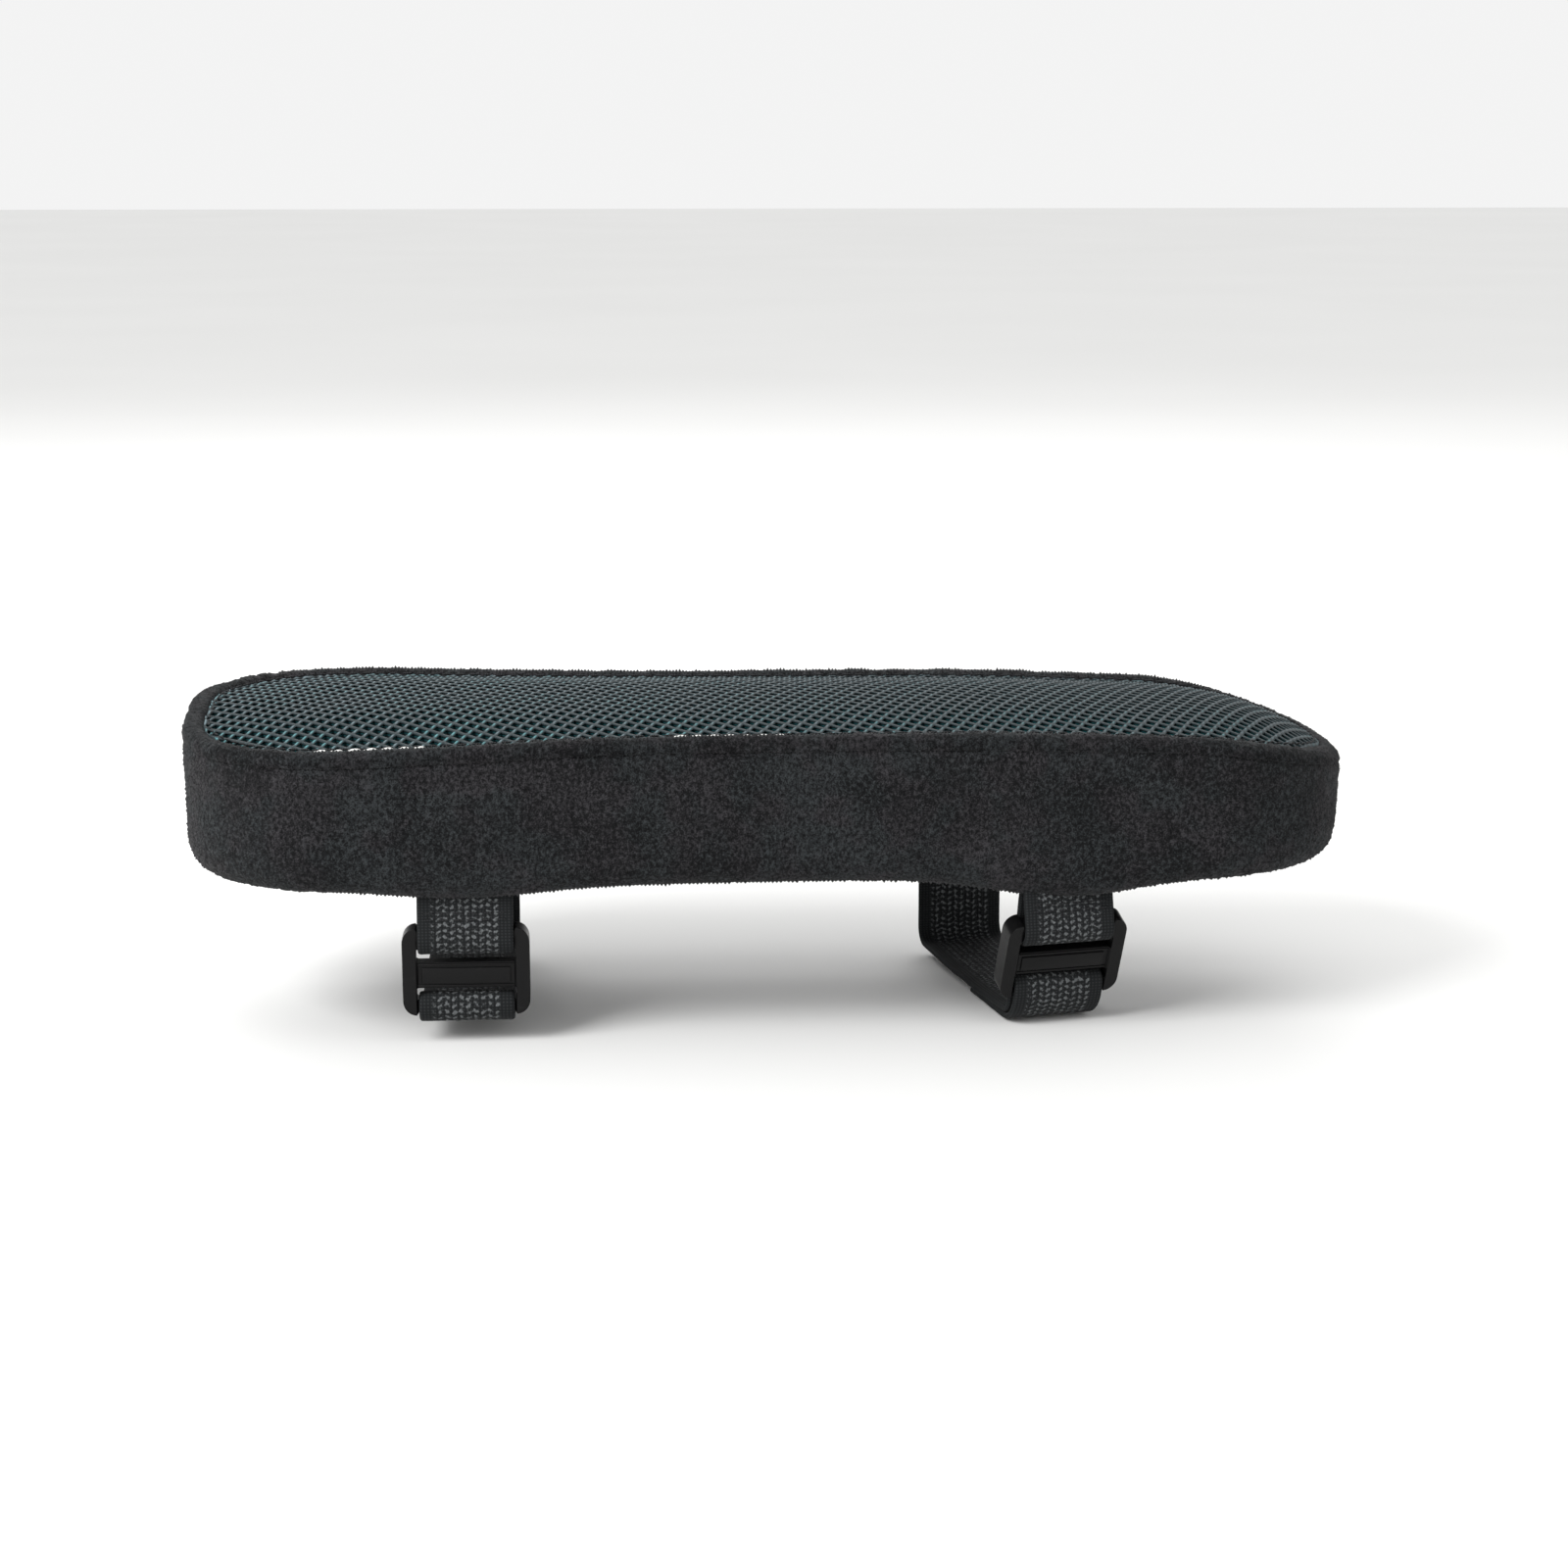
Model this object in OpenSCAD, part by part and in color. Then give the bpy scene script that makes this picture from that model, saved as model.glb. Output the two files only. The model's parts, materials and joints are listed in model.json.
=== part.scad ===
// Strap-on chair armrest pad: a foam block in a zipped cover with a mesh top and
// plush sides, held under the chair arm by two elastic straps with slide buckles.
// Origin: middle of the flat underside that rests on the arm. +X points to the
// backrest end, +Z up, and the buckles are on the -Y side.

/* [Pad] */
// Length over the rounded ends
pad_l = 250; // [220:1:280]
// Width across the front end
front_w = 82; // [78:1:88]
// Width across the rear end
rear_w = 77; // [75:1:80]
// Height of the sides up to the edge of the mesh
side_h = 32; // [28:1:36]
// Rise of the crowned top above its edge
crown_h = 1.5; // [1:0.5:6]
// Fall of the top's edge towards the rear end
rear_fall = 9; // [0:0.5:9]
// Fall of the top's near edge towards the front end
front_fall = 4; // [0:0.5:5]
// Plan radius of the front corners
front_r = 34; // [30:1:37]
// Plan radius of the rear corners
rear_r = 35; // [30:1:36]

/* [Cover] */
// Thickness of the plush fabric
plush_t = 1.6; // [1.2:0.1:1.8]
// Thickness of the open mesh face
mesh_t = 1.4; // [1:0.1:1.6]
// Thickness of the coloured net behind the mesh
backing_t = 0.8; // [0.5:0.1:1]
// Thickness of the white inner sleeve
liner_t = 0.5; // [0.3:0.1:0.5]
// How far the rolled edge reaches in over the top
roll_in = 4.1; // [3.5:0.1:4.5]
// How far the sides turn in under the base
turn_in = 10; // [9.5:0.5:11]
// Thickness of the sewing thread
thread_t = 0.5; // [0.4:0.1:0.6]

/* [Zip] */
// Length of the closed zip
zip_l = 150; // [120:2:156]
// Height of the zip's centre line above the base
zip_z = 14; // [12:1:18]
// Spacing of the teeth on one side
tooth_pitch = 2; // [1.6:0.2:2.4]
// Travel of the slider from closed to open
zip_travel = 134; // [100:2:136]

/* [Straps] */
// Width of the elastic webbing
web_w = 20; // [18:1:20]
// Thickness of the webbing
web_t = 1.2; // [1:0.1:1.2]
// Place of the front strap along the pad
front_x = -64.5; // [-70:0.5:-55]
// Place of the rear strap along the pad
rear_x = 62; // [55:0.5:72]
// Turn of the front strap about the vertical
front_turn = 1; // [0:0.5:4]
// Turn of the rear strap about the vertical
rear_turn = 13; // [0:0.5:15]
// Inward lean of the front buckle at rest
front_lean = 2; // [0:1:6]
// Inward lean of the rear buckle at rest
rear_lean = 22; // [16:1:24]
// How much lower the rear strap hangs below its buckle
rear_slack = 5; // [4:0.1:5.2]
// Length of the strap end sewn back under the strap
return_l = 26; // [18:1:30]

/* [Buckles] */
// Width over the side rails
buckle_w = 26.6; // [26:0.2:28]
// Depth of the rails, front to back
rail_t = 4.6; // [4.6:0.1:5.2]
// Depth of the middle bar
mid_t = 3.2; // [2.8:0.1:3.4]
// Length of the two slots
slot_l = 21; // [20.8:0.1:21.4]
// Radius of the top bar
top_bar_r = 2.2; // [2:0.05:2.2]
// Radius of the bottom bar
bar_r = 1.5; // [1.4:0.05:1.5]
// Distance between the top and bottom bars
bar_gap = 14.6; // [14.6:0.1:15.6]
// Height of the plain middle bar
mid_h = 5.6; // [5.2:0.1:6.4]
// Distance from the top bar down to the middle bar
mid_drop = 7.8; // [7.5:0.1:8.2]
// Depth of the top bar below the base
bar_depth = 10.4; // [10.2:0.1:12]

/* [Hidden] */
$fn = 48;

gap = 0.05;              // between layers that lie on each other
move_gap = 0.3;          // between soft pieces that move apart
run_gap = 0.08;          // between a webbing loop and the bar it turns on
corner_steps = 9;        // facets of each rounded corner of the plan
seam_in = roll_in + 0.1; // inset of the mesh edge
flat_in = 30;            // inset where the crown levels out
crown_power = 2.2;
fall_base = 8;           // height below which the sides don't fall
tab_in = 6;              // inset of the strap seams
loop_r = top_bar_r + run_gap;          // inside radius of the tab's loop
mid_r = bar_r + run_gap + web_t / 2;   // middle of the webbing round the bottom bar
web_top = -0.6;          // top of the webbing, just below the base seam
stitch_t = 0.35;

velour = [0.15, 0.155, 0.165];
webbing_grey = [0.2, 0.21, 0.22];
thread_black = [0.08, 0.08, 0.09];
buckle_black = [0.06, 0.06, 0.065];

// Centres of the plan's corner arcs, and the +Y side line that touches them
front_c = [front_r - pad_l / 2, front_w / 2 - front_r];
rear_c = [pad_l / 2 - rear_r, rear_w / 2 - rear_r];
side_dir = rear_c - front_c;
side_a = atan2(side_dir.y, side_dir.x) + acos((front_r - rear_r) / norm(side_dir));
side_n = [cos(side_a), sin(side_a)];
side_c = front_c * side_n + front_r;

function mirror_y(p) = [p.x, -p.y];
function arc(c, r, a0, a1, n) =
    [for (k = [0:n]) c + r * [cos(a0 + (a1 - a0) * k / n), sin(a0 + (a1 - a0) * k / n)]];

// Plan of the pad, drawn in by an inset
function outline(inset) = concat(
    arc(rear_c, rear_r - inset, 0, side_a, corner_steps),
    arc(front_c, front_r - inset, side_a, 180, corner_steps),
    arc(mirror_y(front_c), front_r - inset, 180, 360 - side_a, corner_steps),
    arc(mirror_y(rear_c), rear_r - inset, 360 - side_a, 360, corner_steps));
ring_n = 4 * (corner_steps + 1);

// The edge of the top falls away towards the rear end and along the near side at
// the front. The fall fades out in towards the middle and down the sides.
function ease(t) = let (c = max(0, min(1, t))) c * c * (3 - 2 * c);
function fall(p) = rear_fall * ease((p.x - 80) / 50)
    + front_fall * ease((-20 - p.x) / 80) * ease((10 - p.y) / 40);
function settled(p, inset, z) =
    z - fall(p) * (1 - inset / flat_in) * max(0, z - fall_base) / (side_h - fall_base);

function ring_points(profile) =
    [for (s = profile) for (p = outline(s[0])) [p.x, p.y, settled(p, s[0], s[1])]];
function ring_faces(from, to) =
    [for (i = [0:ring_n - 1]) let (j = (i + 1) % ring_n, a = from * ring_n, b = to * ring_n) each
        [[a + i, b + i, b + j], [a + i, b + j, a + j]]];

// Sweeps a closed profile of [inset, height] pairs round the plan
module band_sweep(profile) {
    n = len(profile);
    polyhedron(ring_points(profile), [for (k = [0:n - 1]) each ring_faces(k, (k + 1) % n)]);
}

// Lofts a profile of [inset, height] pairs from the middle of the underside,
// round the edge, to the middle of the top
module block_loft(profile) {
    n = len(profile);
    polyhedron(ring_points(profile), concat(
        [[for (i = [0:ring_n - 1]) i]],
        [for (k = [0:n - 2]) each ring_faces(k, k + 1)],
        [[for (i = [ring_n - 1:-1:0]) (n - 1) * ring_n + i]]));
}

// Height of the crowned top at an inset
function top_z(inset) = side_h + crown_h *
    (1 - pow(1 - max(0, min(1, (inset - seam_in) / (flat_in - seam_in))), crown_power));
crown_insets = [seam_in, 7, 11, 16, 22, flat_in];

// A crowned sheet whose top lies a depth below the top of the pad
module crowned_sheet(depth, t)
    block_loft(concat(
        [for (k = [len(crown_insets) - 1:-1:0]) [crown_insets[k], top_z(crown_insets[k]) - depth - t]],
        [for (s = crown_insets) [s, top_z(s) - depth]]));

cover_top_t = mesh_t + backing_t + 2 * gap;
foam_bottom = plush_t + liner_t + 2 * gap;

// The padded block, grown by an amount on every side
module soft_block(grow) {
    foam_top = cover_top_t + liner_t + gap;
    block_loft(concat([
        [flat_in, foam_bottom - grow],
        [9.5, foam_bottom - grow],
        [5.5 - grow / 2, foam_bottom + 1 - grow],
        [3.2 - grow * 0.8, foam_bottom + 3.2 - grow * 0.6],
        [2.35 - grow, foam_bottom + 7],
        [2.35 - grow, side_h - 7],
        [3.2 - grow * 0.7, side_h - 4 + grow * 0.7]],
        [for (s = [5, 7, 11, 16, 22, flat_in]) [s, top_z(s) - foam_top + grow]]));
}

module foam_core()
    color([0.93, 0.89, 0.74]) soft_block(0);

module inner_sleeve()
    color([0.94, 0.94, 0.92]) difference() {
        soft_block(liner_t + gap);
        soft_block(gap);
    }

module mesh_backing()
    color([0.1, 0.55, 0.56]) crowned_sheet(mesh_t + gap, backing_t);

module mesh_top()
    color([0.17, 0.19, 0.2]) crowned_sheet(0, mesh_t);

roll_z = side_h - 2.6; // seam between the rolled edge and the side

module edge_roll()
    color(velour) band_sweep([
        [0.1, roll_z], [0, roll_z + 1.6], [0.6, roll_z + 2.7], [1.9, roll_z + 3.3],
        [3.2, roll_z + 3], [roll_in, roll_z + 2.2], [roll_in, roll_z + 0.9], [plush_t, roll_z]]);

module side_band()
    color(velour) difference() {
        band_sweep([
            [turn_in + gap, 0], [5, 0.3], [2.2, 1.8], [0.6, 4.2], [0, 7.5],
            [0, roll_z - gap], [plush_t, roll_z - gap],
            [plush_t, 8], [plush_t + 0.5, 5.2], [plush_t + 1.8, 3.2],
            [plush_t + 4, 1.9], [turn_in + gap, plush_t]]);
        on_far_side() cube([zip_l + 8, 7, zip_window_h], center = true);
    }

module base_panel()
    color(velour) linear_extrude(plush_t) polygon(outline(turn_in + 2 * gap));

module seam_thread(inset, z)
    color(thread_black) band_sweep([
        [inset, z], [inset - thread_t / 2, z + thread_t / 2],
        [inset, z + thread_t], [inset + thread_t / 2, z + thread_t / 2]]);

module top_seam_thread() seam_thread(seam_in + 1.1, top_z(seam_in + 1.1) + gap);
module base_seam_thread() seam_thread(turn_in - 0.8, -thread_t - gap);

// ---- Zip, in the frame of the +Y side: X along it, Y outwards, Z up ----

zip_window_h = 10;
tape_t = 0.6;
tape_face = -0.9;        // outer face of the tapes, behind the plush surface
teeth_t = 1.3;
tooth_w = 0.8;
tooth_tip = 0.5;         // how far a tooth reaches past the centre line
spine_low = 0.95;
spine_high = 1.9;
tooth_n = floor(zip_l / tooth_pitch);
slider_l = 9;
slider_rest = zip_travel / 2;
plate_y = tape_face + teeth_t + move_gap; // inner face of the slider's plate
pin_y = plate_y + 2.5;
pin_r = 0.6;

module on_far_side() {
    middle = (front_c + rear_c + side_n * (front_r + rear_r)) / 2;
    translate([middle.x, middle.y, zip_z]) rotate([0, 0, side_a - 90]) children();
}

module zip_tapes()
    color([0.1, 0.1, 0.11]) on_far_side() for (side = [-1, 1])
        translate([0, tape_face - tape_t / 2, side * (zip_window_h / 4 + gap)])
            cube([zip_l + 7.6, tape_t, zip_window_h / 2 - 4 * gap], center = true);

// Comb of teeth that point down, standing on the face of the tapes
module teeth(shift) {
    x0 = -zip_l / 2 + shift;
    points = concat(
        [[x0 - tooth_w, spine_high], [x0 - tooth_w, spine_low]],
        [for (k = [0:tooth_n - 1]) let (x = x0 + k * tooth_pitch) each
            [[x, spine_low], [x, -tooth_tip], [x + tooth_w, -tooth_tip], [x + tooth_w, spine_low]]],
        [[x0 + zip_l - tooth_pitch + 2 * tooth_w, spine_low],
         [x0 + zip_l - tooth_pitch + 2 * tooth_w, spine_high]]);
    translate([0, tape_face + teeth_t + gap / 2, 0]) rotate([90, 0, 0])
        linear_extrude(teeth_t) polygon(points);
}

module zip_teeth_upper()
    color([0.13, 0.13, 0.14]) on_far_side() teeth(0.2);

module zip_teeth_lower()
    color([0.13, 0.13, 0.14]) on_far_side() mirror([0, 0, 1]) teeth(0.2 + tooth_pitch / 2);

module zip_stops()
    color("silver") on_far_side() for (end = [-1, 1])
        translate([end * (zip_l / 2 + 1.9), tape_face + 0.85, 0]) cube([1.4, 1.6, 5], center = true);

module zip_slider()
    color([0.1, 0.1, 0.105]) on_far_side() translate([slider_rest, 0, 0]) {
        // Plate over the teeth, with a lip down each side
        translate([-slider_l / 2, plate_y, -4]) cube([slider_l, 1, 8]);
        for (side = [-1, 1]) translate([-slider_l / 2, tape_face + move_gap, side * 3.2 - 0.8])
            cube([slider_l, plate_y - tape_face - move_gap + 0.4, 1.6]);
        // Lugs and the pin that carries the pull
        for (side = [-1, 1]) translate([-1.3, plate_y + 0.8, side * 2.4 - 0.6])
            cube([2.6, pin_y - plate_y + 0.2, 1.2]);
        translate([0, pin_y, 0]) cylinder(r = pin_r, h = 4.4, center = true);
    }

module zip_pull()
    color([0.1, 0.1, 0.105]) on_far_side() translate([slider_rest, pin_y, 0]) {
        eye_w = 3;
        difference() {
            union() {
                cylinder(r = 1.3, h = eye_w, center = true);
                translate([-5, -0.5, -eye_w / 2]) cube([5, 1, eye_w]);
                translate([-19, -0.5, -2.75]) cube([14.5, 1, 5.5]);
            }
            cylinder(r = pin_r + 0.06, h = eye_w + 1, center = true);
            translate([-9.5, 0, 0]) cube([6, 3, 2.4], center = true);
        }
    }

// ---- Straps, each in its own frame: X across the webbing, Y under the arm to
// the far side, Z up, with the origin at the buckle side seam ----

// A strap is [place along the pad, turn, lean of the buckle, slack below it]
front = [front_x, front_turn, front_lean, 0];
rear = [rear_x, rear_turn, rear_lean, rear_slack];

function near_y(strap) = -(side_c - tab_in - strap[0] * side_n.x) / side_n.y;
function strap_span(strap) =
    (side_c - tab_in - [strap[0], near_y(strap)] * side_n) / ([-sin(strap[1]), cos(strap[1])] * side_n);
function low_bar(strap) = [bar_gap * sin(strap[2]), -bar_depth - bar_gap * cos(strap[2])];
// Middle of the run under the arm and of the sewn-back layer, below the bottom bar
function run_drop(strap) = mid_r - 0.35 + strap[3];
function return_drop(strap) = run_drop(strap) + web_t + move_gap;
function fold_end(strap) = return_drop(strap) - mid_r + 2;
function near_bend(strap) = 1.1 + 0.4 * strap[3];
end_gap = 0.5;
far_bend = 4;

module strap_frame(strap)
    translate([strap[0], near_y(strap), 0]) rotate([0, 0, strap[1]]) children();

// Extrudes a shape drawn in the strap's Y-Z plane across the webbing
module across(w) rotate([90, 0, 90]) linear_extrude(w, center = true) children();

function path_normal(path, i) = let (
    d = path[min(i + 1, len(path) - 1)] - path[max(i - 1, 0)]) [-d.y, d.x] / norm(d);
function beside(path, d) = [for (i = [0:len(path) - 1]) path[i] + d * path_normal(path, i)];

// A length of webbing along a path in the strap's Y-Z plane
module webbing(path)
    color(webbing_grey) across(web_w) polygon(concat(
        beside(path, web_t / 2),
        [for (i = [len(path) - 1:-1:0]) beside(path, -web_t / 2)[i]]));

// Loop sewn into the seam and hung round the buckle's top bar
module tab(strap)
    color(webbing_grey) strap_frame(strap) across(web_w) translate([0, -bar_depth]) difference() {
        union() {
            circle(r = loop_r + web_t);
            polygon([[-loop_r - web_t, 0], [loop_r + web_t, 0],
                [web_t + gap, bar_depth + web_top], [-web_t - gap, bar_depth + web_top]]);
        }
        circle(r = loop_r);
        polygon([[-loop_r, 0], [loop_r, 0], [gap, bar_depth - 2], [-gap, bar_depth - 2]]);
    }

// A row of stitches across the webbing
module stitch_row(count, pitch)
    for (k = [0:count - 1]) translate([(k - (count - 1) / 2) * pitch, 0, 0])
        cube([pitch * 0.7, stitch_t, stitch_t], center = true);

module tab_stitch(strap)
    color(thread_black) strap_frame(strap) for (row = [1.6, 3.4])
        translate([0, -web_t - 0.45 - row * (loop_r - gap) / bar_depth, -row]) stitch_row(6, 3);

module rounded_plate(w, h, r) {
    square([w - 2 * r, h], center = true);
    square([w, h - 2 * r], center = true);
    for (x = [-1, 1], y = [-1, 1]) translate([x * (w / 2 - r), y * (h / 2 - r)]) circle(r = r);
}

// Slide buckle hung from its top bar: two round bars between the deep rails, and a
// wide plain bar in the middle with a slot on each side
module buckle(strap) {
    rail_over = 0.3;
    plate_top = top_bar_r + rail_over;
    plate_h = plate_top + bar_gap + bar_r + rail_over;
    color(buckle_black) strap_frame(strap) translate([0, 0, -bar_depth]) rotate([strap[2], 0, 0]) {
        rotate([90, 0, 0]) {
            linear_extrude(rail_t, center = true) difference() {
                translate([0, plate_top - plate_h / 2]) rounded_plate(buckle_w, plate_h, 3.2);
                translate([-slot_l / 2, -plate_h]) square([slot_l, 2 * plate_h]);
            }
            linear_extrude(mid_t, center = true)
                translate([0, -mid_drop]) square([slot_l + 1, mid_h], center = true);
        }
        for (bar = [[0, top_bar_r], [-bar_gap, bar_r]]) translate([0, 0, bar[0]])
            rotate([0, 90, 0]) cylinder(r = bar[1], h = slot_l + 1.2, center = true);
        // Raised panel on the face of the middle bar
        translate([-slot_l / 2 + 1, -mid_t / 2 - 0.3, -mid_drop - mid_h / 2 + 1.2])
            cube([slot_l - 2, 0.6, mid_h - 2.4]);
    }
}

// The strap where it turns round the bottom bar, and its outer layer coming back under
module fold(strap) {
    b = low_bar(strap);
    strap_frame(strap) webbing(concat(
        [b + [mid_r, -0.2]],
        arc(b, mid_r, 0, 180, 16),
        arc(b + [return_drop(strap) - mid_r, 0], return_drop(strap), 189, 270, 8),
        [b + [fold_end(strap), -return_drop(strap)]]));
}

// From behind the bottom bar, under the arm, and up to the far side seam
module strap_run(strap) {
    b = low_bar(strap);
    span = strap_span(strap);
    bend = near_bend(strap);
    strap_frame(strap) webbing(concat(
        [b + [mid_r, -0.6 - 0.2 * strap[3]]],
        arc(b + [mid_r + bend, bend - run_drop(strap)], bend, 180, 270, 6),
        arc([span - far_bend, b.y - run_drop(strap) + far_bend], far_bend, 270, 360, 8),
        [[span, web_top]]));
}

module strap_end(strap) {
    b = low_bar(strap);
    drop = return_drop(strap);
    strap_frame(strap) webbing([b + [fold_end(strap) + end_gap, -drop], b + [return_l, -drop]]);
}

module end_stitch(strap) {
    b = low_bar(strap);
    color(thread_black) strap_frame(strap) for (y = [10, return_l - 3])
        translate([0, b.x + y, b.y - return_drop(strap) - web_t / 2 - stitch_t / 2]) stitch_row(6, 3);
}

module anchor_stitch(strap)
    color(thread_black) strap_frame(strap) for (row = [1.6, 3.4])
        translate([0, strap_span(strap) + web_t / 2 + stitch_t / 2, -row]) stitch_row(6, 3);

foam_core();
inner_sleeve();
mesh_backing();
mesh_top();
edge_roll();
side_band();
base_panel();
top_seam_thread();
base_seam_thread();
zip_tapes();
zip_teeth_upper();
zip_teeth_lower();
zip_stops();
zip_slider();
zip_pull();
tab(front);  // front_tab
tab_stitch(front);  // front_tab_stitch
buckle(front);  // front_buckle
fold(front);  // front_fold
strap_run(front);  // front_strap
strap_end(front);  // front_strap_end
end_stitch(front);  // front_end_stitch
anchor_stitch(front);  // front_anchor_stitch
tab(rear);  // rear_tab
tab_stitch(rear);  // rear_tab_stitch
buckle(rear);  // rear_buckle
fold(rear);  // rear_fold
strap_run(rear);  // rear_strap
strap_end(rear);  // rear_strap_end
end_stitch(rear);  // rear_end_stitch
anchor_stitch(rear);  // rear_anchor_stitch
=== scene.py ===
import json
import math
from math import cos, pi, radians, sin

import bmesh
import bpy
import numpy as np
from mathutils import Matrix, Vector
from mathutils.kdtree import KDTree
from mathutils.noise import fractal
from mathutils.noise import noise_vector


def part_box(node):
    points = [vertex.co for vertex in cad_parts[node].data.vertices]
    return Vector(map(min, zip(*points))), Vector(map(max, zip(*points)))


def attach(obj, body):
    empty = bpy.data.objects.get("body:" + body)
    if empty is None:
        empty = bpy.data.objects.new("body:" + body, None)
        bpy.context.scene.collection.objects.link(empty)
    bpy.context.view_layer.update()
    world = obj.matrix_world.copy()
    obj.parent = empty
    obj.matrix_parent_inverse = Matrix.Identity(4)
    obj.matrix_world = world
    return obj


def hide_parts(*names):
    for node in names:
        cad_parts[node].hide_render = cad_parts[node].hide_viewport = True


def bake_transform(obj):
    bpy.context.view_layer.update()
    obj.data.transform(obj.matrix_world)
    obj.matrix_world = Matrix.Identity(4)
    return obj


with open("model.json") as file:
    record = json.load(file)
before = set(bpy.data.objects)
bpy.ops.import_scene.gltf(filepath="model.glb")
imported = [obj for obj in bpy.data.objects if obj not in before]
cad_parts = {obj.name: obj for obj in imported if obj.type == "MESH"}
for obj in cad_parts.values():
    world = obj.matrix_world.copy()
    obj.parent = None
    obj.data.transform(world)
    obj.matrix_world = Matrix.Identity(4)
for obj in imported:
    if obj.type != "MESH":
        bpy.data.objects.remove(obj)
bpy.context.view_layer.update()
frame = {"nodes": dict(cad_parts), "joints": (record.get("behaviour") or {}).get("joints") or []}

MM = 0.001
UP = Vector((0, 0, 1))
JOINTS = {joint["name"]: joint for joint in frame["joints"]}

# ---- Camera, floor and light ----

FLOOR_Z = min(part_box(node)[0].z for node in frame["nodes"])
LENS_RATIO = 1.9375          # focal length over the width of the view
VIEW_DISTANCE = 668 * MM
VIEW_TILT = radians(12.36)
VIEW_TURN = radians(2.95)
VIEW_TARGET = Vector((4, 0, 14)) * MM


def add_camera():
    data = bpy.data.cameras.new("camera")
    data.sensor_width = 36
    data.lens = data.sensor_width * LENS_RATIO
    data.clip_start = 0.01
    ahead = Vector((sin(VIEW_TURN) * cos(VIEW_TILT), cos(VIEW_TURN) * cos(VIEW_TILT), -sin(VIEW_TILT)))
    camera = bpy.data.objects.new("camera", data)
    camera.location = VIEW_TARGET - ahead * VIEW_DISTANCE
    camera.rotation_euler = ahead.to_track_quat("-Z", "Y").to_euler()
    bpy.context.scene.collection.objects.link(camera)
    bpy.context.scene.camera = camera


def add_area_light(name, place, size, power, colour=(1, 1, 1)):
    data = bpy.data.lights.new(name, "AREA")
    data.shape = "RECTANGLE"
    data.size, data.size_y = size
    data.energy = power
    data.color = colour
    light = bpy.data.objects.new(name, data)
    light.location = place
    light.rotation_euler = (Vector((0, 0, 0.01)) - Vector(place)).to_track_quat("-Z", "Y").to_euler()
    bpy.context.scene.collection.objects.link(light)


def add_world():
    world = bpy.data.worlds.new("studio")
    world.use_nodes = True
    background = world.node_tree.nodes["Background"]
    background.inputs["Color"].default_value = (1, 1, 1, 1)
    background.inputs["Strength"].default_value = 0.9
    bpy.context.scene.world = world
    bpy.context.scene.view_settings.view_transform = "Standard"


# ---- Shader maths ----

class Value:
    """A shader socket that does arithmetic: each operator adds its Math node."""

    def __init__(self, finish, socket):
        self.finish, self.socket = finish, socket

    def math(self, operation, *values):
        return self.finish.node("ShaderNodeMath", {"operation": operation}, dict(enumerate(values)))

    def __add__(self, other):
        return self.math("ADD", self, other)

    def __sub__(self, other):
        return self.math("SUBTRACT", self, other)

    def __rsub__(self, other):
        return self.math("SUBTRACT", other, self)

    def __mul__(self, other):
        return self.math("MULTIPLY", self, other)

    def __truediv__(self, other):
        return self.math("DIVIDE", self, other)

    def __pow__(self, other):
        return self.math("POWER", self, other)

    def __gt__(self, other):
        return self.math("GREATER_THAN", self, other)

    def __abs__(self):
        return self.math("ABSOLUTE", self)

    __radd__ = __add__
    __rmul__ = __mul__

    def sine(self):
        return self.math("SINE", self)

    def triangle(self, size):
        return self.math("PINGPONG", self, size)


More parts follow.
